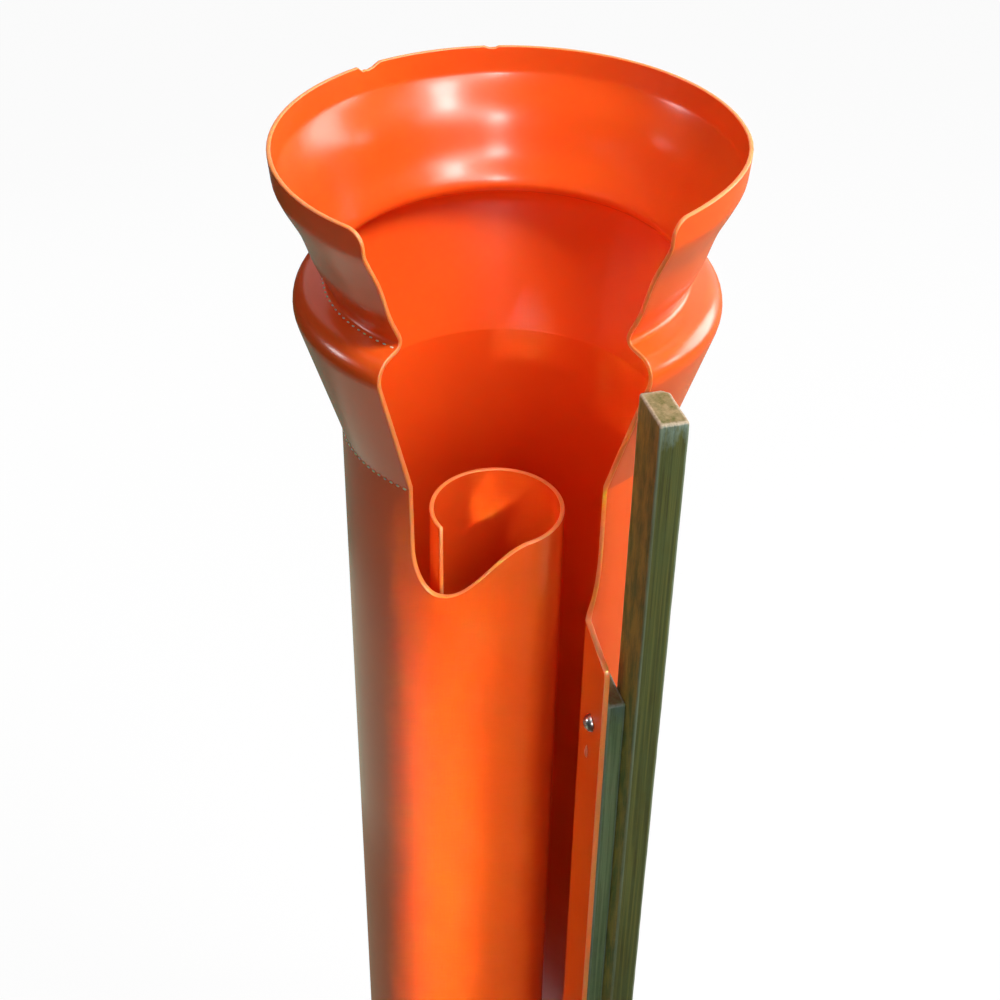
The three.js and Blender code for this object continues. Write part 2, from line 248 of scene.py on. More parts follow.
@dataclass(frozen=True)
class MouldedPolyethylene:
    """Moulded orange polyethylene sheet: a waxy half gloss whose broad soft highlights hide fine orange peel.

    The cut edges were sawn and eased, so they are a little duller than the moulded faces; their paler colour
    is painted light, which keeps them bright where they stand in shade.
    """

    name: str = "polyethylene_moulded_orange"
    body: str = "#F65F1B"
    tinge: str = "#F25919"
    # Painted light: the cut edges are painted paler than the faces so that they read bright even in shade.
    cut: str = "#FC924E"
    cut_glow: float = 0.8
    ior: float = 1.51
    roughness: float = 0.23
    glow: float = 0.3
    glow_reach: tuple[float, float, float] = (1.0, 0.2, 0.05)
    glow_mm: float = 4.0
    peel_mm: float = 2.2
    peel_depth_mm: float = 0.12
    scuff_mm: float = 9.0
    cloud_mm: float = 70.0
    cut_roughness: float = 0.18

    def make(self) -> bpy.types.Material:
        """Builds the material.

        Returns:
            The finished material.
        """
        material, tree, shader = new_material(self.name)
        shader.inputs["IOR"].default_value = self.ior
        shader.inputs["Subsurface Radius"].default_value = self.glow_reach
        shader.inputs["Subsurface Scale"].default_value = self.glow_mm * MM
        place = add(tree, "ShaderNodeTexCoord").outputs["Object"]
        mm = add(tree, "ShaderNodeMapping", {"Vector": place, "Scale": PATTERN_IN_MM}).outputs[0]
        cloud = add(tree, "ShaderNodeTexNoise", {"Vector": mm, "Scale": 1 / self.cloud_mm, "Detail": 3.0})
        colour = add(
            tree,
            "ShaderNodeValToRGB",
            {"Fac": cloud.outputs["Fac"]},
            [(0.3, self.tinge), (0.7, self.body)],
        ).outputs[0]
        cut = add(tree, "ShaderNodeAttribute", attribute_name="cut").outputs["Fac"]
        lit = add(tree, "ShaderNodeMapRange", {"Value": cut, "To Min": self.glow, "To Max": self.cut_glow})
        tree.links.new(lit.outputs[0], shader.inputs["Subsurface Weight"])
        # Painted light: the cut mask paints the paler cut colour on the eased edges, and over the whole burr
        # and pips as a painted highlight.
        with_painted_edge_light = add(
            tree,
            "ShaderNodeMix",
            {"Factor": cut, 6: colour, 7: linear(self.cut)},
            data_type="RGBA",
        ).outputs[2]
        tree.links.new(with_painted_edge_light, shader.inputs["Base Color"])
        scuff = add(
            tree,
            "ShaderNodeTexNoise",
            {"Vector": mm, "Scale": 1 / self.scuff_mm, "Detail": 6.0, "Roughness": 0.7},
        )
        rough = add(
            tree,
            "ShaderNodeMapRange",
            {"Value": scuff.outputs["Fac"], "To Min": self.roughness - 0.05, "To Max": self.roughness + 0.07},
        ).outputs[0]
        rougher = add(
            tree,
            "ShaderNodeMath",
            {0: cut, 1: self.cut_roughness, 2: rough},
            operation="MULTIPLY_ADD",
        ).outputs[0]
        tree.links.new(rougher, shader.inputs["Roughness"])
        peel = add(tree, "ShaderNodeTexNoise", {"Vector": mm, "Scale": 1 / self.peel_mm, "Detail": 2.0})
        bump = add(
            tree,
            "ShaderNodeBump",
            {"Height": peel.outputs["Fac"], "Strength": 0.1, "Distance": self.peel_depth_mm * MM},
        ).outputs[0]
        tree.links.new(bump, shader.inputs["Normal"])
        return material


@dataclass(frozen=True)
class WeatheredPine:
    """Planed softwood left outdoors: grey-brown grain, a film of green algae, and arrises worn pale with a
    painted highlight along them.

    The film gives the eye its cool dull green, and the open grain its long streaks. The side that faces the
    flange has its own colour, partly weathering and partly painted shade and painted reflection of the orange
    sheet.
    """

    name: str
    dark: str
    middle: str
    light: str
    film: str
    film_share: float
    # Side colours: partly the face's own weathering, partly painted shade and a painted reflection of the
    # orange sheet.
    side: str
    side_dark_and_shade: str
    side_share: float
    # Arris colours: partly wear, partly a painted highlight; the top end's arris colour is all painted
    # highlight.
    rubbed_and_highlight: str
    top_arris_highlight: str
    end: str
    bleach: str
    grain_mm: float = 1.5
    streak_mm: float = 150.0
    patch_mm: float = 9.0
    patch_stretch: float = 4.0
    ring_mm: float = 5.0
    relief_mm: float = 0.4
    ior: float = 1.5
    roughness: float = 0.62

    def make(self) -> bpy.types.Material:
        """Builds the material.

        Returns:
            The finished material.
        """
        material, tree, shader = new_material(self.name)
        shader.inputs["IOR"].default_value = self.ior
        coords = add(tree, "ShaderNodeTexCoord")
        square = (0.0, 0.0, -math.radians(FIXING_TURN))
        mm = add(
            tree,
            "ShaderNodeMapping",
            {"Vector": coords.outputs["Object"], "Rotation": square, "Scale": PATTERN_IN_MM},
        ).outputs[0]
        facing = add(tree, "ShaderNodeMapping", {"Vector": coords.outputs["Normal"], "Rotation": square})
        way = add(tree, "ShaderNodeSeparateXYZ", {0: facing.outputs[0]})
        top = add(tree, "ShaderNodeAttribute", attribute_name="top").outputs["Fac"]
        grain, patch = self.draw_patterns(tree, mm)
        colour = self.weather(tree, grain, patch, top)
        colour = self.shade_side(tree, way.outputs["X"], patch, colour)
        colour = self.draw_ends(tree, mm, way.outputs["Z"], colour)
        colour = self.wear_and_highlight_arrises(tree, grain, top, colour)
        tree.links.new(colour, shader.inputs["Base Color"])
        rough = add(
            tree,
            "ShaderNodeMapRange",
            {"Value": grain, "To Min": self.roughness - 0.1, "To Max": self.roughness + 0.12},
        ).outputs[0]
        tree.links.new(rough, shader.inputs["Roughness"])
        bump = add(
            tree,
            "ShaderNodeBump",
            {"Height": grain, "Strength": 0.5, "Distance": self.relief_mm * MM},
        ).outputs[0]
        tree.links.new(bump, shader.inputs["Normal"])
        return material

    def draw_patterns(self, tree: bpy.types.NodeTree, mm: Socket) -> tuple[Socket, Socket]:
        """Draws the grain's long streaks and the patches that the film grows in.

        Args:
            tree: The node tree.
            mm: Place on the wood in millimetres.

        Returns:
            The grain and the patches.
        """
        along = self.grain_mm / self.streak_mm
        drawn = add(tree, "ShaderNodeMapping", {"Vector": mm, "Scale": (1.0, 1.0, along)}).outputs[0]
        grain = add(
            tree,
            "ShaderNodeTexNoise",
            {"Vector": drawn, "Scale": 1 / self.grain_mm, "Detail": 5.0, "Roughness": 0.62},
        )
        tall = (1.0, 1.0, 1 / self.patch_stretch)
        broad = add(tree, "ShaderNodeMapping", {"Vector": mm, "Scale": tall}).outputs[0]
        patch = add(
            tree,
            "ShaderNodeTexNoise",
            {"Vector": broad, "Scale": 1 / self.patch_mm, "Detail": 6.0, "Roughness": 0.72},
        )
        return grain.outputs["Fac"], patch.outputs["Fac"]

    def weather(self, tree: bpy.types.NodeTree, grain: Socket, patch: Socket, top: Socket) -> Socket:
        """Colours the grain, grows the green film over it, and bleaches the wood towards its top.

        Args:
            tree: The node tree.
            grain: The grain.
            patch: The patches.
            top: How near the top end a place is.

        Returns:
            The colour of the broad faces.
        """
        wood = add(
            tree,
            "ShaderNodeValToRGB",
            {"Fac": grain},
            [(0.4, self.dark), (0.6, self.light), (0.5, self.middle)],
        ).outputs[0]
        spread = add(
            tree,
            "ShaderNodeMapRange",
            {"Value": patch, "From Min": 0.35, "From Max": 0.65, "To Max": self.film_share},
        ).outputs[0]
        filmed = add(
            tree,
            "ShaderNodeMix",
            {"Factor": spread, 6: wood, 7: linear(self.film)},
            data_type="RGBA",
        ).outputs[2]
        streaked = add(tree, "ShaderNodeMath", {0: top, 1: patch}, operation="MULTIPLY").outputs[0]
        bleached = add(
            tree,
            "ShaderNodeMapRange",
            {"Value": streaked, "From Min": 0.3, "From Max": 0.62, "To Max": 0.9},
        ).outputs[0]
        return add(
            tree,
            "ShaderNodeMix",
            {"Factor": bleached, 6: filmed, 7: linear(self.bleach)},
            data_type="RGBA",
        ).outputs[2]

    def shade_side(self, tree: bpy.types.NodeTree, across: Socket, patch: Socket, colour: Socket) -> Socket:
        """Gives the side that faces the flange its own mottled colour: partly its own weathering, partly
        painted shade and a painted reflection of the orange sheet.

        Args:
            tree: The node tree.
            across: How far a face looks across.
            patch: The patches.
            colour: The colour of the broad faces.

        Returns:
            The colour with that side in it.
        """
        # Painted shade and reflection: faces that look towards the flange take the side colours.
        side_painted_light_mask = add(
            tree,
            "ShaderNodeMath",
            {0: across, 1: -self.side_share},
            operation="MULTIPLY",
            use_clamp=True,
        ).outputs[0]
        side_weather_and_painted_light = add(tree, "ShaderNodeValToRGB", {"Fac": patch}, [(0.38, self.side_dark_and_shade), (0.6, self.side)])
        return add(
            tree,
            "ShaderNodeMix",
            {"Factor": side_painted_light_mask, 6: colour, 7: side_weather_and_painted_light.outputs[0]},
            data_type="RGBA",
        ).outputs[2]

    def draw_ends(self, tree: bpy.types.NodeTree, mm: Socket, up: Socket, colour: Socket) -> Socket:
        """Draws the growth rings of the sawn top end.

        Args:
            tree: The node tree.
            mm: Place on the wood in millimetres.
            up: How far a face looks up.
            colour: The colour of the long faces.

        Returns:
            The colour with the end in it.
        """
        rings = add(
            tree,
            "ShaderNodeTexNoise",
            {"Vector": mm, "Scale": 1 / self.ring_mm, "Detail": 4.0, "Roughness": 0.6},
        ).outputs["Fac"]
        ends = add(
            tree,
            "ShaderNodeValToRGB",
            {"Fac": rings},
            [(0.3, self.middle), (0.62, self.end)],
        ).outputs[0]
        upward = add(tree, "ShaderNodeMath", {0: up, 1: 0.6}, operation="GREATER_THAN").outputs[0]
        return add(tree, "ShaderNodeMix", {"Factor": upward, 6: colour, 7: ends}, data_type="RGBA").outputs[2]

    def wear_and_highlight_arrises(self, tree: bpy.types.NodeTree, grain: Socket, top: Socket, colour: Socket) -> Socket:
        """Rubs the arrises pale where their grain stands proud, and paints a highlight along them that is
        paler at the top end.

        Args:
            tree: The node tree.
            grain: The grain.
            top: How near the top end a place is.
            colour: The colour of the whole timber.

        Returns:
            The colour with worn arrises and their painted highlight.
        """
        wear = add(tree, "ShaderNodeAttribute", attribute_name="wear").outputs["Fac"]
        frayed = add(tree, "ShaderNodeMath", {0: wear, 1: grain}, operation="MULTIPLY").outputs[0]
        rub_and_highlight_mask = add(
            tree,
            "ShaderNodeMapRange",
            {"Value": frayed, "From Min": 0.22, "From Max": 0.6, "To Max": 0.8},
        ).outputs[0]
        # Painted highlight: the arrises near the top end take the top arris colour.
        crown = add(tree, "ShaderNodeMapRange", {"Value": top, "From Min": 0.975, "To Max": 0.7}).outputs[0]
        worn = add(
            tree,
            "ShaderNodeMix",
            {"Factor": crown, 6: linear(self.rubbed_and_highlight), 7: linear(self.top_arris_highlight)},
            data_type="RGBA",
        ).outputs[2]
        return add(tree, "ShaderNodeMix", {"Factor": rub_and_highlight_mask, 6: colour, 7: worn}, data_type="RGBA").outputs[2]


@dataclass(frozen=True)
class PolishedSteel:
    """Bright stainless steel, cold formed and barrelled: a mirror that fine swirls blur a little.

    Real swirls are finer still. They are drawn this coarse so that they show.
    """

    colour: str = "#ECEEF0"
    shade: str = "#BEC2C6"
    roughness: float = 0.26
    swirl_mm: float = 0.8

    def make(self) -> bpy.types.Material:
        """Builds the material.

        Returns:
            The finished material.
        """
        material, tree, shader = new_material("stainless_steel_barrelled")
        shader.inputs["Metallic"].default_value = 1.0
        place = add(tree, "ShaderNodeTexCoord").outputs["Object"]
        mm = add(tree, "ShaderNodeMapping", {"Vector": place, "Scale": PATTERN_IN_MM}).outputs[0]
        swirl = add(
            tree,
            "ShaderNodeTexNoise",
            {"Vector": mm, "Scale": 1 / self.swirl_mm, "Detail": 3.0},
        ).outputs["Fac"]
        tone = add(tree, "ShaderNodeValToRGB", {"Fac": swirl}, [(0.3, self.shade), (0.7, self.colour)])
        tree.links.new(tone.outputs[0], shader.inputs["Base Color"])
        rough = add(
            tree,
            "ShaderNodeMapRange",
            {"Value": swirl, "To Min": self.roughness - 0.05, "To Max": self.roughness + 0.1},
        ).outputs[0]
        tree.links.new(rough, shader.inputs["Roughness"])
        return material


# The sheet


@dataclass
class SheetPoint:
    """A point of the sheet's middle layer: its place, the way its outer face looks, and half its wall."""

    place: Vector
    out: Vector
    half: float


@dataclass
class Chip:
    """A chip broken out of the rim: its middle azimuth, width, depth, and how far its deepest part leans."""

    azimuth: float
    width: float
    depth: float
    lean_share: float


@dataclass
class TornBurr:
    """The small torn burr on the flange's inner face, below the first screw.

    Its reach is counted from the tube's axis and its drop from the rim.
    """

    length: float = 13.0
    width: float = 3.0
    proud: float = 1.9
    sunk: float = 0.15
    slant: float = 0.9
    plumpness: float = 0.8
    ragged_share: float = 0.25
    ragged_grain: float = 5.0
    seed: float = 3.0
    reach: float = 127.0
    drop: float = 414.0
    rows: int = 9
    around: int = 8

    def build(self, sheet: MouldedSheet) -> bpy.types.Object:
        """Makes the burr's skin.

        Args:
            sheet: The sheet that it was torn from.

        Returns:
            The burr.
        """
        points = []
        for row in range(self.rows + 1):
            t = row / self.rows
            swell = math.sin(math.pi * t) ** self.plumpness
            for step in range(self.around + 1):
                turn = math.pi * step / self.around
                grain = Vector((t * self.ragged_grain, turn, self.seed))
                ragged = 1 + self.ragged_share * noise.noise(grain)
                across = -self.proud * swell * math.sin(turn) * ragged + self.sunk
                outward = self.width / 2 * swell * math.cos(turn) + self.slant * (t - 0.5)
                points.append(Vector((across, outward, self.length * (t - 0.5))))
        faces = ring_faces(ring_numbers(0, self.around + 1, self.rows + 1))
        seat = Vector((sheet.flange_offset, -self.reach, sheet.height - self.drop))
        made = mesh_object("flange_burr", in_fixing_frame(sheet.axis, seat, points), faces)
        # Painted highlight: the whole burr takes its finish's paler cut colour.
        paint(made, "cut", [1.0] * len(points))
        return made


@dataclass
class MouldPips:
    """The two rows of tiny pips that the mould left round the left half, at the waist and the crease.

    A row stands a little out of its bend and a little below it, and faces up by a share.
    """

    pitch: float = 5.6
    size: float = 0.8
    stretch: float = 2.0
    rise_share: float = 0.8
    sunk_share: float = 0.1
    crown_share: float = 0.75
    curl_radians: tuple[float, ...] = (0.0, 0.55, 1.1)
    around: int = 8
    first: float = 186.0
    cut_gap: float = 2.0
    waist_row: tuple[float, float, float] = (3.4, 0.9, 0.9)
    crease_row: tuple[float, float, float] = (0.3, 0.4, 0.1)

    def pip(self, seat: Vector, along: Vector, up: Vector) -> list[Vector]:
        """Rounds one pip over its seat, drawn out along its row.

        Args:
            seat: The middle of its foot.
            along: The way of its row.
            up: The way that it stands out.

        Returns:
            Its rings from the foot up, then its crown.
        """
        side = along.cross(up).normalized()
        points = []
        for tilt in self.curl_radians:
            lift = up * self.size * (math.sin(tilt) * self.rise_share - self.sunk_share)
            for step in range(self.around):
                spin = math.tau * step / self.around
                flat = along * (self.stretch * math.cos(spin)) + side * math.sin(spin)
                points.append(seat + flat * self.size * math.cos(tilt) + lift)
        return [*points, seat + up * self.size * self.crown_share]

    def build(self, sheet: MouldedSheet) -> bpy.types.Object:
        """Makes both rows.

        Args:
            sheet: The sheet that the pips stand on.

        Returns:
            The pips as one piece.
        """
        points: list[Vector] = []
        faces: list[tuple[int, ...]] = []
        for bend_radius, bend_drop, (outward, below, slope) in (
            (sheet.waist_radius, sheet.waist_drop, self.waist_row),
            (sheet.tube_radius, sheet.head_drop, self.crease_row),
        ):
            radius = bend_radius + outward
            drop = bend_drop + below
            down = min(1.0, drop / sheet.head_drop)
            last = 360 - self.cut_gap + lerp(sheet.rim_left, sheet.crease_left, down)
            count = int(math.radians(last - self.first) * radius / self.pitch)
            for index in range(count):
                turn = math.radians(lerp(self.first, last, index / (count - 1)))
                out = Vector((math.sin(turn), -math.cos(turn), 0.0))
                along = Vector((math.cos(turn), math.sin(turn), 0.0))
                up = (Vector((0, 0, 1)) * slope + out * (1 - slope)).normalized()
                rings = ring_numbers(len(points), self.around, len(self.curl_radians))
                points += self.pip(out * radius + Vector((0, 0, sheet.height - drop)), along, up)
                faces += ring_faces(rings)
                top = rings[-1]
                faces += [(here, top[(step + 1) % self.around], top.stop) for step, here in enumerate(top)]
                faces.append(tuple(reversed(rings[0])))
        made = mesh_object("mould_pips", [sheet.axis + p for p in points], faces)
        # Painted highlight: the whole pips take their finish's pale cream cut colour.
        paint(made, "cut", [1.0] * len(points))
        return made


@dataclass
class MouldedSheet:
    """The one moulded sheet: flared head, tube wall, flap, inner scroll, fold and flange.

    It is drawn flat, distance along the sheet against length up it, and rolled into place.
    """

    axis: Vector
    height: float = 1200.0
    thickness: float = 4.0
    rim_thickness: float = 2.8
    scroll_thickness: float = 3.0
    scroll_thinning: float = 40.0
    rim_radius: float = 150.0
    lip_drop: float = 18.3
    lip_taper: float = 1.7
    waist_radius: float = 116.5
    waist_drop: float = 90.6
    bulge_radius: float = 144.3
    bulge_drop: float = 96.2
    head_drop: float = 201.2
    skirt: float = 6.0
    lip_bend: float = 14.0
    waist_bend: float = 3.0
    bulge_bend: float = 15.0
    crease_bend: float = 2.0
    bend_step: float = 9.0
    row_pitch: float = 3.0
    wall_pitch: float = 25.0
    ripples: tuple[Point, ...] = ((0.04, 0.0), (0.34, -1.6), (0.72, 0.5), (0.93, -0.6), (1.0, 0.0))
    tube_radius: float = 112.0
    rim_left: float = -33.6
    rim_right: float = 42.0
    crease_left: float = -32.6
    crease_right: float = 36.6
    rim_corner: float = 11.0
    rim_dress: float = 0.25
    rim_lean: float = 7.0
    full_lean: float = 50.0
    last_lean: float = 95.0
    flap_left: float = -32.3
    flap_corner_drop: float = 248.0
    flap_low_drop: float = 282.3
    flap_low: float = -22.8
    flap_ease: Point = (0.4, 0.37)
    scroll_top_drop: float = 234.0
    scroll_level: float = 30.0
    scroll_radius: float = 43.9
    scroll_start: float = -3.4
    scroll_turn: float = 308.0
    flange_offset: float = 28.0
    flange_reach: float = 152.3
    fold_radius: float = 6.0
    flange_top_drop: float = 307.0
    flange_fall: float = 10.0
    flange_corner: float = 6.0
    sweep_height: float = 44.0
    sweep_azimuth: float = 36.3
    sweep_shares: tuple[float, float, float] = (0.55, 0.9, 0.5)
    edge_round: float = 0.9
    edge_facets: int = 4
    support: float = 0.7
    margin: float = 1.2
    sharpest_mitre: float = 0.55
    flange_pitch: float = 3.2
    cut_pitch: float = 4.0
    scroll_pitch: float = 3.0
    foot_pitch: float = 9.0
    side_pitch: float = 20.0
    flange_facets: int = 6
    rim_facets: int = 8
    sweep_facets: int = 26
    flap_facets: int = 28
    dip_facets: int = 48
    chip_facets: int = 24
    chip_flank: float = 1.6
    chip_ragged: float = 0.16
    chip_grain: Point = (4.0, 7.0)
    chip_margin: float = 0.8
    rim_margin: float = 1.0
    column_steps: tuple[float, float, float, float] = (8.0, 9.0, 4.0, 6.0)
    chips: list[Chip] = field(
        default_factory=lambda: [Chip(-139.8, 19.0, 3.6, 0.35), Chip(-174.6, 11.0, 1.4, -0.2)]
    )

    def __post_init__(self) -> None:
        """Works out the runs of the sheet and the line of its head."""
        self.mid_radius = self.tube_radius - self.thickness / 2
        across = self.flange_offset + self.thickness / 2 + self.fold_radius
        out = math.sqrt((self.mid_radius + self.fold_radius) ** 2 - across**2)
        self.fold_azimuth = FIXING_TURN + math.degrees(math.atan2(across, out))
        wrap = math.radians(360 + self.scroll_start - self.fold_azimuth)
        self.runs: list[tuple[float, float]] = [
            (self.flange_reach - out, 0.0),
            (self.fold_radius * math.atan2(out, across), -self.fold_radius),
            (self.mid_radius * wrap, self.mid_radius),
            (self.scroll_radius * math.radians(self.scroll_turn), self.scroll_radius),
        ]
        self.skirt_top = self.height - self.head_drop - self.skirt
        self.face = self.head_line()
        self.first_head = self.on_tube(self.crease_right)
        self.last_head = self.on_tube(360 + self.crease_left)

    def on_tube(self, azimuth: float) -> float:
        """Gives the distance along the sheet at an azimuth of the tube wall."""
        start = self.runs[0][0] + self.runs[1][0]
        return start + self.mid_radius * math.radians(azimuth - self.fold_azimuth)

    def head_line(self) -> list[tuple[float, float, float, float, float]]:
        """Draws the head's outer face from the skirt's foot up to the rim, with its bends rounded.

        Returns:
            Length up the line, radius, height, and the outward normal's radial and upward parts.
        """
        corners = [
            (self.tube_radius, self.head_drop + self.skirt, 0.0),
            (self.tube_radius, self.head_drop, self.crease_bend),
            (self.bulge_radius, self.bulge_drop, self.bulge_bend),
            (self.waist_radius, self.waist_drop, self.waist_bend),
            (self.rim_radius - self.lip_taper, self.lip_drop, self.lip_bend),
            (self.rim_radius, 0.0, 0.0),
        ]
        at = [Vector((radius, self.height - drop)) for radius, drop, _ in corners]
        line: list[tuple[Vector, Vector]] = []
        for index, (_, _, bend) in enumerate(corners):
            if not bend:
                way = at[1] - at[0] if index == 0 else at[-1] - at[-2]
                line.append((at[index], way.normalized()))
                continue
            before = (at[index] - at[index - 1]).normalized()
            after = (at[index + 1] - at[index]).normalized()
            turn = math.atan2(before.x * after.y - before.y * after.x, before.dot(after))
            reach = bend * math.tan(abs(turn) / 2)
            side = Vector((-before.y, before.x)) * math.copysign(bend, turn)
            start = at[index] - before * reach
            facets = max(3, round(abs(math.degrees(turn)) / self.bend_step))
            for facet in range(facets + 1):
                spin = Matrix.Rotation(turn * facet / facets, 2)
                line.append((start + side + spin @ (-side), spin @ before))
        filled: list[tuple[Vector, Vector]] = [line[0]]
        for (a, way_a), (b, way_b) in zip(line, line[1:]):
            parts = max(1, math.ceil((b - a).length / self.row_pitch))
            for part in range(1, parts + 1):
                share = part / parts
                filled.append((a.lerp(b, share), way_a.lerp(way_b, share).normalized()))
        filled = self.rippled(filled)
        up = 0.0
        face = []
        for index, (point, way) in enumerate(filled):
            up += (point - filled[index - 1][0]).length if index else 0.0
            face.append((up, point.x, point.y, way.y, -way.x))
        return face

    def rippled(self, line: list[tuple[Vector, Vector]]) -> list[tuple[Vector, Vector]]:
        """Bends the straight cone above the waist into the slight waves and the toe that the mould gave it.

        Args:
            line: Points and headings of the face, from the skirt up.

        Returns:
            The same line with its cone waved.
        """
        length = self.waist_drop - self.lip_drop
        made = []
        for point, way in line:
            share = (self.height - self.lip_drop - point.y) / length
            if not 0 < share < 1:
                made.append((point, way))
                continue
            nearby = 0.01
            slope = (self.ripple(share + nearby) - self.ripple(share - nearby)) / (2 * nearby * length)
            bent = Vector((way.x - slope * way.y, way.y)).normalized()
            made.append((point + Vector((self.ripple(share), 0.0)), bent))
        return made

    def ripple(self, share: float) -> float:
        """Says how far the cone stands out from its straight line at a share of its way down."""
        knots = self.ripples
        share = min(knots[-1][0], max(knots[0][0], share))
        index = next(i for i in range(len(knots) - 1) if share <= knots[i + 1][0])
        (x0, y0), (x1, y1) = knots[index], knots[index + 1]
        return lerp(y0, y1, smoothstep(share, x0, x1))

    def lean(self, azimuth: float, height: float) -> float:
        """Says how far the cut rim's right lobe leans in at a place of the head.

        Args:
            azimuth: Azimuth of the place.
            height: Height of the place.

        Returns:
            Millimetres towards the axis.
        """
        above = max(0.0, 1 - (self.height - height) / self.waist_drop)
        return self.rim_lean * above * (1 - smoothstep(azimuth, self.full_lean, self.last_lean))

    def rolled_at(self, distance: float) -> tuple[Point, float]:
        """Follows the runs of the sheet in plan.

        Args:
            distance: Distance from the flange's free edge.

        Returns:
            The middle layer's place in plan, and the heading in radians.
        """
        turn = math.radians(FIXING_TURN)
        left, front = self.flange_offset + self.thickness / 2, -self.flange_reach
        x = left * math.cos(turn) - front * math.sin(turn)
        y = left * math.sin(turn) + front * math.cos(turn)
        heading = math.pi / 2 + turn
        rest = distance
        for length, radius in self.runs:
            part = min(rest, length)
            if radius:
                centre_x = x - radius * math.sin(heading)
                centre_y = y + radius * math.cos(heading)
                heading += part / radius
                x = centre_x + radius * math.sin(heading)
                y = centre_y - radius * math.cos(heading)
            else:
                x += math.cos(heading) * part
                y += math.sin(heading) * part
            rest -= part
            if rest <= 0:
                break
        return (x, y), heading

    def at(self, u: float, v: float) -> SheetPoint:
        """Rolls a point of the flat sheet into place.

        Args:
            u: Distance along the sheet.
            v: Height on the rolled part, and length up the face beyond it.

        Returns:
            The point of the middle layer.
        """
        if v <= self.skirt_top:
            (x, y), heading = self.rolled_at(u)
            scroll = sum(length for length, _ in self.runs[:3])
            thin = smoothstep(u, scroll, scroll + self.scroll_thinning)
            half = lerp(self.thickness, self.scroll_thickness, thin) / 2
            out = Vector((math.sin(heading), -math.cos(heading), 0.0))
            return SheetPoint(Vector((x, y, v)), out, half)
        up = v - self.skirt_top
        face = self.face
        index = next((i for i, row in enumerate(face) if row[0] >= up), len(face) - 1)
        low, high = face[max(0, index - 1)], face[max(1, index)]
        share_up = (up - low[0]) / (high[0] - low[0])
        radius, height, out_r, out_z = (lerp(a, b, share_up) for a, b in zip(low[1:], high[1:]))
        down = min(1.0, (self.height - height) / self.head_drop)
        right = lerp(self.rim_right, self.crease_right, down)
        left = 360 + lerp(self.rim_left, self.crease_left, down)
        azimuth = lerp(right, left, (u - self.first_head) / (self.last_head - self.first_head))
        radius -= self.lean(azimuth, height)
        below = (self.height - height) / (self.height - self.skirt_top)
        wall = lerp(self.rim_thickness, self.thickness, below)
        turn = math.radians(azimuth)
        size = math.hypot(out_r, out_z)
        out = Vector((out_r * math.sin(turn), -out_r * math.cos(turn), out_z)) / size
        place = Vector((radius * math.sin(turn), -radius * math.cos(turn), height)) - out * wall / 2
        return SheetPoint(place, out, wall / 2)

    def rolled_edge(self) -> tuple[list[Point], list[Point]]:
        """Draws the upper cut edge on both sides of the head.

        Returns:
            The edge from the flange's foot to the head's right cut, and from its left cut to the foot.
        """
        flange = self.runs[0][0]
        fold = flange + self.runs[1][0]
        scroll_from = fold + self.runs[2][0]
        end = scroll_from + self.runs[3][0]
        top = self.height - self.flange_top_drop
        fallen = top - self.flange_fall
        sweep_top = top + self.sweep_height
        right_edge = self.on_tube(self.sweep_azimuth)
        out, into, up = self.sweep_shares
        right: list[Point] = [(0.0, 0.0)]
        right += self.straight((0.0, 0.0), (0.0, fallen - self.flange_corner), self.side_pitch)
        corner = ((0.0, fallen - self.flange_corner), (0.0, fallen), (self.flange_corner, fallen))
        right += self.curve(corner, self.flange_facets)
        right += self.straight((self.flange_corner, fallen), (flange, top), self.flange_pitch)
        sweep = (
            (flange, top),
            (lerp(flange, right_edge, out), top),
            (lerp(flange, right_edge, into), lerp(top, sweep_top, up)),
            (right_edge, sweep_top),
        )
        right += self.curve(sweep, self.sweep_facets)
        right += self.straight((right_edge, sweep_top), (self.first_head, self.skirt_top), self.cut_pitch)
        left_edge = self.on_tube(360 + self.flap_left)
        corner_height = self.height - self.flap_corner_drop
        low = self.height - self.flap_low_drop
        low_point = self.on_tube(360 + self.flap_low)
        scroll_top = self.height - self.scroll_top_drop
        level = scroll_from + self.scroll_radius * math.radians(self.scroll_level - self.scroll_start)
        ease_out, ease_in = (share * (level - low_point) for share in self.flap_ease)
        left = self.straight((self.last_head, self.skirt_top), (left_edge, corner_height), self.cut_pitch)
        for step in range(1, self.flap_facets + 1):
            t = math.pi / 2 * step / self.flap_facets
            along = low_point - (low_point - left_edge) * math.cos(t)
            left.append((along, corner_height - (corner_height - low) * math.sin(t)))
        dip = (
            (low_point, low),
            (low_point + ease_out, low),
            (level - ease_in, scroll_top),
            (level, scroll_top),
        )
        left += self.curve(dip, self.dip_facets)
        left += self.straight((level, scroll_top), (end, scroll_top), self.scroll_pitch)
        left += self.straight((end, scroll_top), (end, 0.0), self.side_pitch)
        return right, left

    @staticmethod
    def straight(a: Point, b: Point, pitch: float) -> list[Point]:
        """Steps along a straight line, without its first point."""
        steps = max(1, math.ceil(math.dist(a, b) / pitch))
        return [(lerp(a[0], b[0], i / steps), lerp(a[1], b[1], i / steps)) for i in range(1, steps + 1)]

    @staticmethod
    def curve(poles: Sequence[Point], steps: int) -> list[Point]:
        """Steps along a Bezier curve, without its first point.

        Args:
            poles: Its three or four control points.
            steps: How many points to give.

        Returns:
            The points.
        """
        degree = len(poles) - 1
        made = []
        for step in range(1, steps + 1):
            t = step / steps
            weights = [math.comb(degree, i) * t**i * (1 - t) ** (degree - i) for i in range(degree + 1)]
            made.append(tuple(sum(w * pole[axis] for w, pole in zip(weights, poles)) for axis in (0, 1)))
        return made

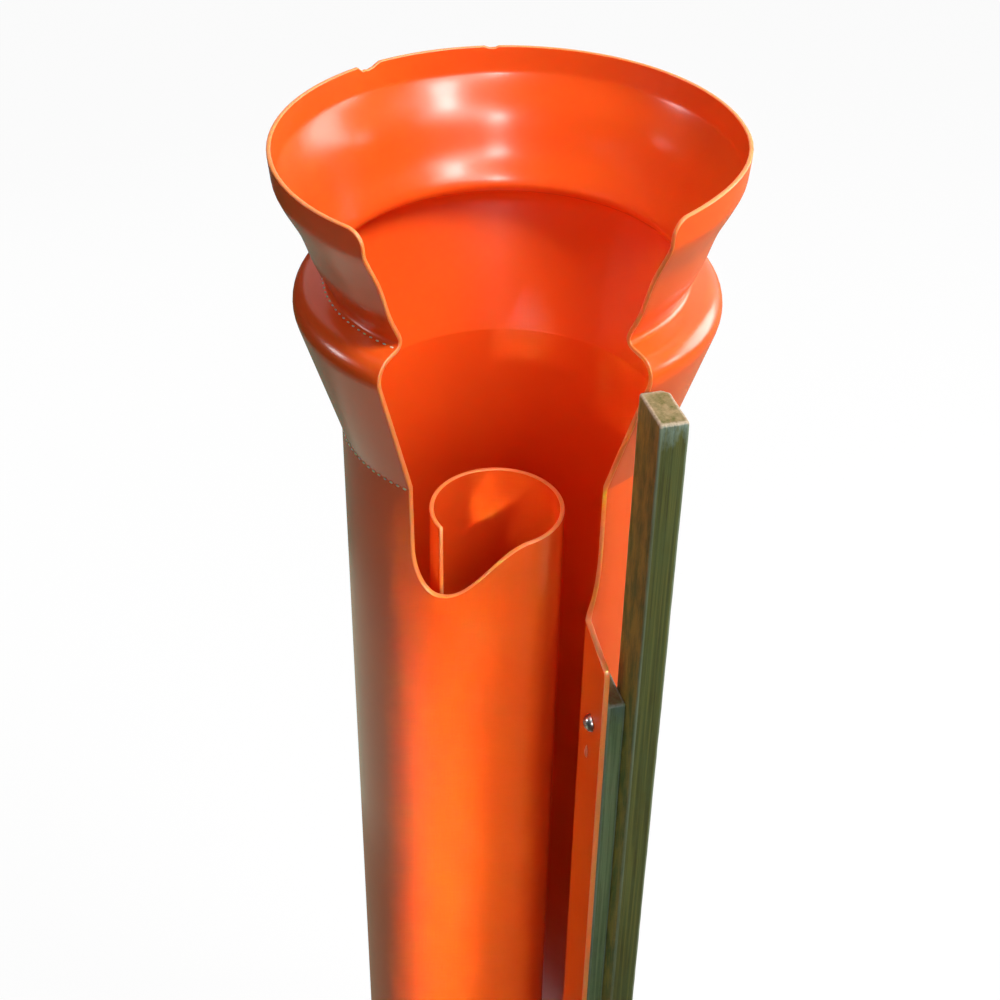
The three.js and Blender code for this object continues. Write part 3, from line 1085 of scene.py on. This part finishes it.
    def stretch(self, v: float) -> float:
        """Says how much of the flat distance one millimetre round the head takes at a length up it."""
        if v <= self.skirt_top:
            return 1.0
        up = v - self.skirt_top
        radius = next((row[1] for row in self.face if row[0] >= up), self.rim_radius)
        full = math.radians(360 + self.rim_left - self.rim_right) * radius
        return (self.last_head - self.first_head) / full

    def rim_top(self, u: float) -> float:
        """Gives the rim's length up the sheet, with its chips broken out.

        Args:
            u: Distance along the sheet.

        Returns:
            Length up the sheet.
        """
        top = self.skirt_top + self.face[-1][0]
        share = (u - self.first_head) / (self.last_head - self.first_head)
        azimuth = lerp(self.rim_right, 360 + self.rim_left, share)
        grain, apart = self.chip_grain
        drop = 0.0
        for index, chip in enumerate(self.chips):
            off = (azimuth - chip.azimuth + 180) % 360 - 180
            along = 2 * math.radians(off) * self.rim_radius / chip.width
            if abs(along) >= 1:
                continue
            lean = chip.lean_share
            edge = (1 - along) / (1 - lean) if along > lean else (1 + along) / (1 + lean)
            ragged = self.chip_ragged * noise.noise(Vector((along * grain, index * apart, 0.0)))
            drop = max(drop, chip.depth * min(1.0, edge * self.chip_flank) * (1 + ragged))
        return top - max(drop, self.rim_dress)

    def head_edge(self, columns: Sequence[float]) -> list[Point]:
        """Draws the head's cut edges and rim, from its right cut over the rim to its left cut.

        Args:
            columns: The distances of the head's columns.

        Returns:
            The edge, without the two points that it shares with the rolled part.
        """
        top = self.skirt_top + self.face[-1][0] - self.rim_dress
        levels = [self.skirt_top + row[0] for row in self.face[1:]]
        rows = [v for v in levels if v < top - self.rim_corner]
        squeeze = self.stretch(top)
        corner = [
            (self.rim_corner * (1 - math.cos(t)) * squeeze, top - self.rim_corner * (1 - math.sin(t)))
            for t in (math.pi / 2 * i / self.rim_facets for i in range(self.rim_facets + 1))
        ]
        edge: list[Point] = [(self.first_head, v) for v in rows]
        edge += [(self.first_head + inset, v) for inset, v in corner]
        first = edge[-1][0] + self.rim_margin
        last = self.last_head - corner[-1][0] - self.rim_margin
        inner = [u for u in columns if first < u < last]
        chipped: list[float] = []
        for chip in self.chips:
            share = (chip.azimuth % 360 - self.rim_right) / (360 + self.rim_left - self.rim_right)
            middle = lerp(self.first_head, self.last_head, share)
            reach = chip.width * squeeze / 2
            chipped += [middle + reach * (2 * i / self.chip_facets - 1) for i in range(self.chip_facets + 1)]
        keep = [u for u in inner if all(abs(u - c) > self.chip_margin for c in chipped)]
        edge += [(u, self.rim_top(u)) for u in sorted(keep + chipped)]
        edge += [(self.last_head - inset, v) for inset, v in reversed(corner)]
        edge += [(self.last_head, v) for v in reversed(rows)]
        return edge

    def inset(self, loop: Sequence[Point], by: float) -> list[Point]:
        """Draws a loop inside the outline, square to it and by an equal width on the rolled sheet.

        Args:
            loop: The outline, counter-clockwise or not.
            by: The width in millimetres.

        Returns:
            The inner loop, point for point.
        """
        area = sum(a[0] * b[1] - b[0] * a[1] for a, b in zip(loop, [*loop[1:], loop[0]]))
        side = math.copysign(1.0, area)
        made = []
        count = len(loop)
        for index, here in enumerate(loop):
            scale = self.stretch(here[1])
            behind, ahead = loop[index - 1], loop[(index + 1) % count]
            before = Vector(((here[0] - behind[0]) / scale, here[1] - behind[1])).normalized()
            after = Vector(((ahead[0] - here[0]) / scale, ahead[1] - here[1])).normalized()
            way = before + after
            way.normalize()
            square = Vector((-way.y, way.x)) * side
            mitre = 1 / max(self.sharpest_mitre, square.dot(Vector((-before.y, before.x)) * side))
            made.append((here[0] + square.x * by * mitre * scale, here[1] + square.y * by * mitre))
        return made

    def columns(self) -> list[float]:
        """Picks the distances of the sheet's columns, closer where it turns tighter."""
        made, start = [], 0.0
        for step, (length, radius) in zip(self.column_steps, self.runs):
            turn = abs(math.degrees(length / radius)) if radius else length
            parts = max(1, math.ceil(turn / step))
            made += [start + length * part / parts for part in range(parts)]
            start += length
        return [*made, start]

    def triangles(self) -> tuple[list[Point], list[tuple[int, int, int]], list[Point], int]:
        """Cuts the flat sheet into triangles inside its eased edge.

        Returns:
            The flat points, the triangles, the outline, and how many points the inset outline has.
        """
        columns = self.columns()
        right, left = self.rolled_edge()
        outline = [*right, *self.head_edge(columns), *left]
        outline += self.straight(left[-1], right[0], self.foot_pitch)[:-1]
        near = self.inset(outline, self.edge_round)
        support = self.inset(outline, self.edge_round + self.support)
        count = len(outline)
        points: list[Point] = [*near, *support]
        edges = [(i, (i + 1) % count) for i in range(count)]
        edges += [(count + i, count + (i + 1) % count) for i in range(count)]
        rows = [self.wall_pitch * i for i in range(1, int(self.skirt_top / self.wall_pitch) + 1)]
        rows.append(self.skirt_top)
        rows += [self.skirt_top + row[0] for row in self.face[1:]]
        inside = self.inside_test(self.inset(outline, self.edge_round + self.support + self.margin))
        points += [(u, v) for u in columns for v in rows if inside((u, v))]
        made, _, faces, _, _, _ = delaunay_2d_cdt([Vector(p) for p in points], edges, [], 1, 1e-6)
        if len(made) != len(points):
            raise ValueError("the sheet's flat outline crosses itself")
        return [tuple(p) for p in made], [tuple(f) for f in faces], outline, count

    @staticmethod
    def inside_test(loop: Sequence[Point]) -> Callable[[Point], bool]:
        """Makes a test for points inside a loop.

        Args:
            loop: The closed loop.

        Returns:
            A function that says whether a point is inside.
        """

        def inside(point: Point) -> bool:
            """Counts the loop's crossings to the right of a point."""
            x, y = point
            odd = False
            for (ax, ay), (bx, by) in zip(loop, [*loop[1:], loop[0]]):
                if (ay > y) != (by > y) and x < ax + (y - ay) * (bx - ax) / (by - ay):
                    odd = not odd
            return odd

        return inside

    def build(self) -> bpy.types.Object:
        """Makes the sheet's closed skin with eased cut edges.

        Returns:
            The sheet.
        """
        flat, faces, outline, count = self.triangles()
        middle = [self.at(u, v) for u, v in flat]
        border = [self.at(u, max(0.0, v)) for u, v in outline]
        points = [p.place + p.out * p.half for p in middle] + [p.place - p.out * p.half for p in middle]
        cut = [0.0] * len(points)
        total = len(middle)
        skin: list[tuple[int, ...]] = [tuple(f) for f in faces]
        skin += [tuple(total + i for i in reversed(f)) for f in faces]
        rings: list[list[int]] = []
        for index, (rim, near) in enumerate(zip(border, middle[:count])):
            out_way = rim.place - near.place
            ring = [index]
            for side in (1, -1):
                turns = range(1, self.edge_facets + 1)
                for step in turns if side > 0 else reversed(turns):
                    t = math.pi / 2 * step / self.edge_facets
                    lift = rim.half - self.edge_round * (1 - math.cos(t))
                    ring.append(len(points))
                    points.append(near.place + out_way * math.sin(t) + rim.out * lift * side)
                    cut.append(1.0)
            ring.append(total + index)
            rings.append(ring)
        for index, ring in enumerate(rings):
            after = rings[(index + 1) % count]
            for here in range(len(ring) - 1):
                skin.append((ring[here], ring[here + 1], after[here + 1], after[here]))
        made = mesh_object("moulded_sheet", [p + self.axis for p in points], skin)
        # The cut mask marks the eased edges, where the finish paints a paler colour as painted light.
        paint(made, "cut", cut)
        return made

    def dress(self, finish: bpy.types.Material, torn: bpy.types.Material, pip_highlight: bpy.types.Material) -> None:
        """Builds the sheet with its burr and pips and gives them their finish.

        Args:
            finish: The sheet's material.
            torn: The material of the burr, the sheet's finish with a paler colour painted on as a highlight.
            pip_highlight: The material of the pips, the sheet's finish painted pale cream as a highlight.
        """
        mount(self.build(), finish, "sheet", "flared_head", "rolled_sheet")
        mount(TornBurr().build(self), torn, "sheet")
        mount(MouldPips().build(self), pip_highlight, "sheet")


# Timber


@dataclass
class Timber:
    """A planed length of timber in the fixing frame, with eased and worn arrises."""

    name: str
    slot: str
    axis: Vector
    left: float
    back: float
    thickness: float
    width: float
    length: float
    worn_corner: tuple[int, int]
    worn_size: float
    seed: float
    worn_share: float = 0.33
    worn_fall: float = 1.4
    worn_way: tuple[float, float, float] = (1.0, 0.8, 1.3)
    bleached: float = 40.0
    arris: float = 1.5
    arris_facets: int = 5
    end_facets: int = 4
    support: float = 0.7
    face_pitch: float = 3.0
    length_pitch: float = 12.0
    end_shares: tuple[float, ...] = (0.8, 0.55, 0.3)
    rubbed_depth: float = 0.22
    rough_depth: float = 0.05
    rough_grain: Point = (0.5, 0.06)

    def outline(self) -> list[tuple[float, float, float]]:
        """Draws the cross-section with rounded arrises.

        Returns:
            Across, outward and how much of an arris each point is.
        """
        made = []
        half_x, half_y = self.thickness / 2, self.width / 2
        corners = ((1, 1), (-1, 1), (-1, -1), (1, -1))
        for index, (sx, sy) in enumerate(corners):
            cx, cy = sx * (half_x - self.arris), sy * (half_y - self.arris)
            start = math.radians(90 * index)
            for step in range(self.arris_facets + 1):
                t = start + math.pi / 2 * step / self.arris_facets
                made.append((cx + self.arris * math.cos(t), cy + self.arris * math.sin(t), 1.0))
            nx, ny = corners[(index + 1) % 4]
            last = made[-1]
            ahead = math.radians(90 * (index + 1))
            target = (
                nx * (half_x - self.arris) + self.arris * math.cos(ahead),
                ny * (half_y - self.arris) + self.arris * math.sin(ahead),
            )
            gap = math.dist(last[:2], target)
            close = self.support / gap
            parts = max(2, round(gap / self.face_pitch))
            for share in (close, *(part / parts for part in range(1, parts)), 1 - close):
                made.append((lerp(last[0], target[0], share), lerp(last[1], target[1], share), 0.0))
        return made

    def build(self) -> bpy.types.Object:
        """Makes the timber's closed skin, worn at one top corner.

        Returns:
            The timber.
        """
        section = self.outline()
        around = len(section)
        levels: list[tuple[float, float, float]] = []
        for i in range(self.end_facets + 1):
            t = math.pi / 2 * i / self.end_facets
            edge = 1.0 if i < self.end_facets else 0.5
            levels.append((self.arris * (1 - math.cos(t)), self.arris * (1 - math.sin(t)), edge))
        count = max(4, round((self.length - 2 * self.arris) / self.length_pitch))
        body = [(lerp(self.arris, self.length - self.arris, i / count), 0.0, 0.0) for i in range(1, count)]
        top = [(self.length - z, inset, edge) for z, inset, edge in reversed(levels)]
        points, wear = [], []
        for z, inset, edge in [*levels, *body, *top]:
            share_x = 1 - inset / (self.thickness / 2)
            share_y = 1 - inset / (self.width / 2)
            for x, y, arris in section:
                points.append(Vector((x * share_x, y * share_y, z)))
                wear.append(max(edge, arris))
        rings = ring_numbers(0, around, len(points) // around)
        faces = ring_faces(rings)
        for end in (rings[0], rings[-1]):
            inner = [end]
            for shrink in self.end_shares:
                inner += ring_numbers(len(points), around, 1)
                points += [Vector((points[i].x * shrink, points[i].y * shrink, points[i].z)) for i in end]
                wear += [0.0] * around
            faces += [*ring_faces(inner), tuple(inner[-1])]
        seat = Vector((self.left + self.thickness / 2, -(self.back + self.width / 2), 0.0))
        shaped = in_fixing_frame(self.axis, seat, (self.weathered(p, w) for p, w in zip(points, wear)))
        made = mesh_object(self.name, shaped, faces)
        # The wear mask also places the painted highlight along the arrises.
        paint(made, "wear", wear)
        paint(made, "top", [smoothstep(p.z, self.length - self.bleached, self.length) for p in points])
        return made

    def weathered(self, point: Vector, wear: float) -> Vector:
        """Moves a point inwards where weather and knocks took wood away.

        Args:
            point: The point as planed.
            wear: How much of an arris it is.

        Returns:
            The point as worn.
        """
        middle = Vector((0.0, 0.0, point.z))
        inward = (middle - point).normalized() if (middle - point).length > 1e-6 else Vector()
        crosswise, lengthwise = self.rough_grain
        grain = Vector((point.x * crosswise, point.y * crosswise, point.z * lengthwise + self.seed))
        rough = noise.noise(grain)
        moved = point + inward * (self.rubbed_depth * wear * (0.6 + rough) + self.rough_depth * (1 + rough))
        across, outward = self.worn_corner
        corner = Vector((across * self.thickness / 2, outward * self.width / 2, self.length))
        gap = (moved - corner).length
        if gap < self.worn_size:
            pull = (1 - gap / self.worn_size) ** self.worn_fall
            way_across, way_out, way_down = self.worn_way
            way = Vector((-across * way_across, -outward * way_out, -way_down))
            moved += way * (pull * self.worn_size * self.worn_share)
        return moved

    def dress(self, finish: bpy.types.Material) -> None:
        """Builds the timber and gives it its finish."""
        mount(self.build(), finish, self.slot, self.name.removeprefix("planed_"))


# Screws


@dataclass
class DomedScrew:
    """A domed screw with a cross recess, lying across flange, lath and stake."""

    number: int
    axis: Vector
    height: float
    seat: float = 27.7
    reach: float = 132.3
    head_radius: float = 6.4
    head_height: float = 5.2
    washer_ease: float = 0.15
    slot_half: Point = (0.35, 0.95)
    slot_reach: Point = (1.4, 3.0)
    slot_depth: float = 1.5
    shank_radius: float = 2.5
    length: float = 32.0
    tip: float = 6.0
    dome_facets: int = 12
    around: int = 48

    def build(self) -> bpy.types.Object:
        """Makes the screw's skin: dome, recess, washer face, shank and tip.

        Returns:
            The screw.
        """
        profile: list[Point] = []
        for step in range(1, self.dome_facets + 1):
            t = math.pi / 2 * step / self.dome_facets
            profile.append((self.head_radius * math.sin(t), -self.head_height * math.cos(t)))
        profile += [
            (self.head_radius - self.washer_ease, 0.0),
            (self.shank_radius, 0.0),
            (self.shank_radius, self.length - self.tip),
        ]
        points = [Vector((-self.head_height + self.recess(0.0, 0.0), 0.0, 0.0))]
        for radius, x in profile:
            for step in range(self.around):
                spin = math.tau * step / self.around
                y, z = radius * math.cos(spin), radius * math.sin(spin)
                sunk = self.recess(y, z) if x < 0 else 0.0
                points.append(Vector((x + sunk, y, z)))
        tip = len(points)
        points.append(Vector((self.length, 0.0, 0.0)))
        rings = ring_numbers(1, self.around, len(profile))
        faces = ring_faces(rings)
        for step in range(self.around):
            after = (step + 1) % self.around
            faces.append((0, rings[0][after], rings[0][step]))
            faces.append((tip, rings[-1][step], rings[-1][after]))
        seat = Vector((self.seat, -self.reach, self.height))
        return mesh_object(f"domed_screw_{self.number}", in_fixing_frame(self.axis, seat, points), faces)

    def recess(self, y: float, z: float) -> float:
        """Says how deep the cross recess is at a place of the dome.

        Args:
            y: Across.
            z: Up.

        Returns:
            Depth in millimetres.
        """
        turned_y = (y + z) * math.sqrt(0.5)
        turned_z = (z - y) * math.sqrt(0.5)
        near = min(abs(turned_y), abs(turned_z))
        far = max(abs(turned_y), abs(turned_z))
        slot = 1 - smoothstep(near, *self.slot_half)
        fade = 1 - smoothstep(far, *self.slot_reach)
        return self.slot_depth * slot * fade

    def dress(self, finish: bpy.types.Material) -> None:
        """Builds the screw and gives it its finish."""
        mount(self.build(), finish, "screw_metal", f"screw_{self.number}")


# Studio


class Card(Enum):
    """How a card stands in the studio: flat on the floor, or upright behind the lamps."""

    FLAT = "flat"
    UPRIGHT = "upright"


class Reach(Enum):
    """Which part of a look a lamp works on: all of it, only its gloss, or only its matt part."""

    ALL = "all"
    GLOSS = "gloss"
    MATT = "matt"


@dataclass
class ReflectionCard:
    """A dull card that only the gloss of the marker sees, as a flag keeps white glare off a shiny thing."""

    name: str
    kind: Card
    first: float
    last: float
    near: float
    far: float
    colour: str
    lift: float = 3.0
    step: float = 6.0

    def place(self, axis: Vector) -> None:
        """Stands the card round the marker.

        Args:
            axis: The marker's axis at floor level, in millimetres.
        """
        steps = max(2, round(abs(self.last - self.first) / self.step))
        lift = Vector((0.0, 0.0, self.lift))
        points, faces = [], []
        for step in range(steps + 1):
            turn = math.radians(lerp(self.first, self.last, step / steps))
            way = Vector((math.sin(turn), -math.cos(turn), 0.0))
            if self.kind is Card.FLAT:
                ends = (way * self.near + lift, way * self.far + lift)
            else:
                ends = (way * self.near, way * self.near + Vector((0, 0, self.far)))
            points += [axis + end for end in ends]
        for step in range(steps):
            faces.append((2 * step, 2 * step + 1, 2 * step + 3, 2 * step + 2))
        made = mesh_object(self.name, points, faces, smooth=False)
        material, tree, _ = new_material(f"{self.name}_dull")
        glow = add(tree, "ShaderNodeEmission", {"Color": linear(self.colour), "Strength": 1.0})
        tree.links.new(glow.outputs[0], tree.nodes["Material Output"].inputs["Surface"])
        made.data.materials.append(material)
        made.visible_camera = False
        made.visible_diffuse = False
        made.visible_transmission = False
        made.visible_volume_scatter = False
        made.visible_shadow = False


@dataclass
class Lamp:
    """A soft box: where it stands as seen from what it aims at, its size and its strength.

    Its size and distance are metres. A grid narrows its beam. Its aim is so many millimetres right of
    the axis and above the floor.
    """

    name: str
    azimuth: float
    elevation: float
    width: float
    tall: float
    watts: float
    distance: float = 2.4
    grid: float = 180.0
    roll: float = 0.0
    aim: Point = (0.0, 1000.0)
    reach: Reach = Reach.ALL

    def place(self, axis: Vector) -> None:
        """Hangs the lamp and aims it at the marker.

        Args:
            axis: The marker's axis at floor level, in millimetres.
        """
        light = bpy.data.lights.new(self.name, "AREA")
        light.shape = "ELLIPSE"
        light.size, light.size_y = self.width, self.tall
        light.energy = self.watts
        light.spread = math.radians(self.grid)
        lamp = bpy.data.objects.new(self.name, light)
        a, e = math.radians(self.azimuth), math.radians(self.elevation)
        way = Vector((math.sin(a) * math.cos(e), -math.cos(a) * math.cos(e), math.sin(e)))
        target = (axis + Vector((self.aim[0], 0.0, self.aim[1]))) * MM
        spin = Matrix.Rotation(math.radians(self.roll), 4, "Z")
        facing = way.to_track_quat("Z", "Y").to_matrix().to_4x4()
        lamp.matrix_world = Matrix.Translation(target + way * self.distance) @ facing @ spin
        lamp.visible_diffuse = self.reach is not Reach.GLOSS
        lamp.visible_glossy = self.reach is not Reach.MATT
        bpy.context.scene.collection.objects.link(lamp)


@dataclass
class Studio:
    """The plain floor, the white surroundings, the soft lamps and the camera."""

    axis: Vector
    floor_radius: float = 14.0
    floor_sides: int = 64
    floor_gap: float = 0.3
    floor_grey: str = "#787878"
    shadow_share: float = 0.05
    dome: float = 0.04
    lens: float = 61.685
    sensor: float = 36.0
    shift: Point = (0.03646, 0.03534)
    sight: float = 60.0
    stand: tuple[float, float, float] = (0.0, -984.9, 1653.5)
    pan: float = -1.64
    tilt: float = 37.78
    roll: float = 0.1
    lamps: list[Lamp] = field(
        default_factory=lambda: [
            Lamp("key_softbox", 62.0, 53.0, 1.0, 1.0, 66.0),
            Lamp("high_softbox", 38.0, 50.0, 0.3, 0.3, 4.0, reach=Reach.GLOSS),
            Lamp("side_softbox", 38.0, 36.0, 0.42, 0.16, 15.0, reach=Reach.GLOSS),
            Lamp("front_softbox", 7.5, 24.0, 0.3, 0.22, 11.0, reach=Reach.GLOSS),
            Lamp("front_glow", 29.0, 29.0, 1.9, 0.6, 20.0, distance=2.5, reach=Reach.GLOSS),
            Lamp("front_fill", 2.0, 22.0, 1.8, 1.2, 13.0, distance=2.5, reach=Reach.MATT),
            Lamp("right_softbox", 90.0, 13.0, 0.45, 0.45, 7.0),
            Lamp("left_softbox", -91.0, 12.0, 0.45, 0.35, 8.0, reach=Reach.GLOSS),
            Lamp("back_left_glow", -164.0, 33.0, 2.6, 2.2, 8.0, distance=2.6, reach=Reach.GLOSS),
            Lamp("flange_spot", -35.0, 12.0, 0.1, 1.1, 0.16, grid=4.0, aim=(108.0, 600.0), reach=Reach.MATT),
            Lamp("back_right_softbox", 115.0, 12.0, 1.5, 1.3, 38.0),
            Lamp("back_left_fill", -152.0, 10.0, 1.5, 1.3, 13.0, reach=Reach.MATT),
            Lamp("left_top_fill", -100.0, 60.0, 1.2, 1.2, 7.0, reach=Reach.MATT),
            Lamp("top_softbox", 0.0, 88.0, 1.1, 1.1, 6.0),
            Lamp("gridded_strip", -14.0, -2.0, 0.02, 0.85, 0.175, grid=2.4, roll=-1.5, aim=(-21.0, 560.0)),
        ]
    )
    cards: list[ReflectionCard] = field(
        default_factory=lambda: [
            ReflectionCard("left_near_card", Card.FLAT, -178.0, -55.0, 120.0, 620.0, "#94927A"),
            ReflectionCard("left_floor_card", Card.FLAT, -178.0, -55.0, 620.0, 1150.0, "#BECBB2"),
            ReflectionCard("left_mid_card", Card.FLAT, -178.0, -55.0, 1150.0, 1850.0, "#76947F"),
            ReflectionCard("left_far_card", Card.FLAT, -156.0, -55.0, 1850.0, 6000.0, "#35482C"),
            ReflectionCard("back_far_card", Card.FLAT, -178.0, -156.0, 1850.0, 6000.0, "#6E9494"),
            ReflectionCard("front_floor_card", Card.FLAT, -55.0, 50.0, 180.0, 6000.0, "#3A2A1A"),
            ReflectionCard("right_floor_card", Card.FLAT, 50.0, 182.0, 180.0, 6000.0, "#C9A98A"),
            ReflectionCard("round_screen", Card.UPRIGHT, -178.0, 115.0, 3600.0, 6500.0, "#2A2A2A"),
        ]
    )

    def floor(self) -> None:
        """Lays the floor: white to the eye, and still dimmed where the marker keeps light off it."""
        points = []
        for step in range(self.floor_sides):
            turn = math.tau * step / self.floor_sides
            rim = Vector((math.cos(turn), math.sin(turn), 0.0)) * self.floor_radius / MM
            points.append(rim - Vector((0.0, 0.0, self.floor_gap)))
        made = mesh_object("studio_floor", points, [tuple(range(self.floor_sides))], smooth=False)
        material, tree, shader = new_material("floor_paper_white")
        shader.inputs["Base Color"].default_value = linear(self.floor_grey)
        shader.inputs["Roughness"].default_value = 0.9
        shader.inputs["Specular IOR Level"].default_value = 0.0
        path = add(tree, "ShaderNodeLightPath")
        seen = self.seen(tree, path)
        glow = add(tree, "ShaderNodeEmission", {"Color": (1.0, 1.0, 1.0, 1.0), "Strength": 1.0})
        paper = add(tree, "ShaderNodeBsdfDiffuse", {"Color": (1.0, 1.0, 1.0, 1.0)})
        dim = add(
            tree,
            "ShaderNodeMixShader",
            {0: self.shadow_share, 1: glow.outputs[0], 2: paper.outputs[0]},
        )
        both = add(tree, "ShaderNodeMixShader", {0: seen, 1: shader.outputs[0], 2: dim.outputs[0]})
        tree.links.new(both.outputs[0], tree.nodes["Material Output"].inputs["Surface"])
        made.data.materials.append(material)

    @staticmethod
    def seen(tree: bpy.types.NodeTree, path: bpy.types.Node) -> Socket:
        """Adds up the rays by which the eye sees the surroundings.

        Args:
            tree: The node tree that gets the sum.
            path: Its light path node.

        Returns:
            One for camera, glossy and transmission rays, else nothing.
        """
        first = add(
            tree,
            "ShaderNodeMath",
            {0: path.outputs["Is Camera Ray"], 1: path.outputs["Is Glossy Ray"]},
            operation="MAXIMUM",
        ).outputs[0]
        return add(
            tree,
            "ShaderNodeMath",
            {0: first, 1: path.outputs["Is Transmission Ray"]},
            operation="MAXIMUM",
        ).outputs[0]

    def world(self) -> None:
        """Surrounds the scene with white, and lights it softly from all round."""
        world = bpy.data.worlds.new("studio_white")
        bpy.context.scene.world = world
        world.use_nodes = True
        tree = world.node_tree
        tree.nodes.clear()
        seen = self.seen(tree, add(tree, "ShaderNodeLightPath"))
        strength = add(
            tree,
            "ShaderNodeMapRange",
            {"Value": seen, "To Min": self.dome, "To Max": 1.0},
        ).outputs[0]
        back = add(tree, "ShaderNodeBackground", {"Color": (1.0, 1.0, 1.0, 1.0), "Strength": strength})
        out = add(tree, "ShaderNodeOutputWorld")
        tree.links.new(back.outputs[0], out.inputs["Surface"])

    def camera(self) -> None:
        """Stands the camera where the photograph was taken from."""
        data = bpy.data.cameras.new("camera")
        data.lens = self.lens
        data.sensor_width = self.sensor
        data.shift_x, data.shift_y = self.shift
        data.clip_end = self.sight
        made = bpy.data.objects.new("camera", data)
        pan, tilt, roll = math.radians(self.pan), math.radians(self.tilt), math.radians(self.roll)
        ahead = Vector((math.sin(pan) * math.cos(tilt), math.cos(pan) * math.cos(tilt), -math.sin(tilt)))
        right = Vector((math.cos(pan), -math.sin(pan), 0.0))
        up = right.cross(ahead)
        rolled_right = right * math.cos(roll) + up * math.sin(roll)
        rolled_up = up * math.cos(roll) - right * math.sin(roll)
        turn = Matrix((rolled_right, rolled_up, -ahead)).transposed().to_4x4()
        place = (self.axis + Vector(self.stand)) * MM
        made.matrix_world = Matrix.Translation(place) @ turn
        bpy.context.scene.collection.objects.link(made)
        bpy.context.scene.camera = made

    def build(self) -> None:
        """Sets up the whole studio."""
        self.floor()
        self.world()
        for card in self.cards:
            card.place(self.axis)
        for lamp in self.lamps:
            lamp.place(self.axis)
        self.camera()
        bpy.context.scene.view_settings.view_transform = "Standard"


def tube_axis() -> Vector:
    """Finds the tube's axis in the frame from the middle of the stake, which the CAD places from it.

    Returns:
        The axis' place at floor level, in millimetres.
    """
    # The stake as the CAD has it, square and unworn.
    left, back, thickness, width = 45.6, 130.116, 19.0, 38.0
    low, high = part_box("stake")
    middle = (low + high) / 2 / MM
    turn = math.radians(FIXING_TURN)
    across, out = left + thickness / 2, back + width / 2
    offset = Vector(
        (
            across * math.cos(turn) + out * math.sin(turn),
            across * math.sin(turn) - out * math.cos(turn),
        )
    )
    return Vector((middle.x - offset.x, middle.y - offset.y, 0.0))


def main() -> None:
    """Builds the marker, the studio and the camera."""
    logging.basicConfig(level=logging.INFO, format="%(name)s %(message)s")
    axis = tube_axis()
    LOG.info("tube axis at %.3f, %.3f mm", axis.x, axis.y)
    # The pips' pale cream is a painted highlight.
    pip_highlight = MouldedPolyethylene(name="polyethylene_pip_painted_highlight", cut="#F2E2BE")
    # The burr's paler orange is a painted highlight.
    torn = MouldedPolyethylene(name="polyethylene_burr_painted_highlight", cut="#FF9470")
    MouldedSheet(axis).dress(MouldedPolyethylene().make(), torn.make(), pip_highlight.make())
    lath_wood = WeatheredPine(
        name="pine_planed_lath",
        dark="#485A3A",
        middle="#607248",
        light="#7E9066",
        film="#709266",
        film_share=0.55,
        # Side colours: partly weathering, partly painted shade and painted orange reflection.
        side="#3E3A24",
        side_dark_and_shade="#26301E",
        side_share=0.6,
        # Arris colours: partly wear, partly painted highlight; the top one is a painted highlight.
        rubbed_and_highlight="#7C9080",
        top_arris_highlight="#8C9A8C",
        end="#574E2A",
        bleach="#58746E",
    )
    stake_wood = WeatheredPine(
        name="pine_planed_stake",
        dark="#3E400F",
        middle="#50531B",
        light="#646628",
        film="#4A5E30",
        film_share=0.5,
        # Side colours: partly weathering, partly painted shade and painted orange reflection.
        side="#8E8038",
        side_dark_and_shade="#465A2A",
        side_share=0.95,
        # Arris colours: partly wear, partly painted highlight; the top one is a painted highlight.
        rubbed_and_highlight="#7A8A72",
        top_arris_highlight="#CDB29C",
        end="#8F7F5A",
        bleach="#86A097",
    )
    Timber(
        name="planed_lath",
        slot="lath_timber",
        axis=axis,
        left=32.3,
        back=113.3,
        thickness=13.0,
        width=38.0,
        length=849.4,
        worn_corner=(1, -1),
        worn_size=2.0,
        seed=44.0,
    ).dress(lath_wood.make())
    Timber(
        name="planed_stake",
        slot="stake_timber",
        axis=axis,
        left=45.6,
        back=130.09,
        thickness=19.0,
        width=38.0,
        length=1088.0,
        worn_corner=(1, 1),
        worn_size=5.0,
        seed=77.0,
    ).dress(stake_wood.make())
    steel = PolishedSteel().make()
    screw_heights = (819.0, 439.5, 60.0)
    for number, height in enumerate(screw_heights, start=1):
        DomedScrew(number, axis, height).dress(steel)
    Studio(axis).build()


if __name__ == "__main__":
    main()
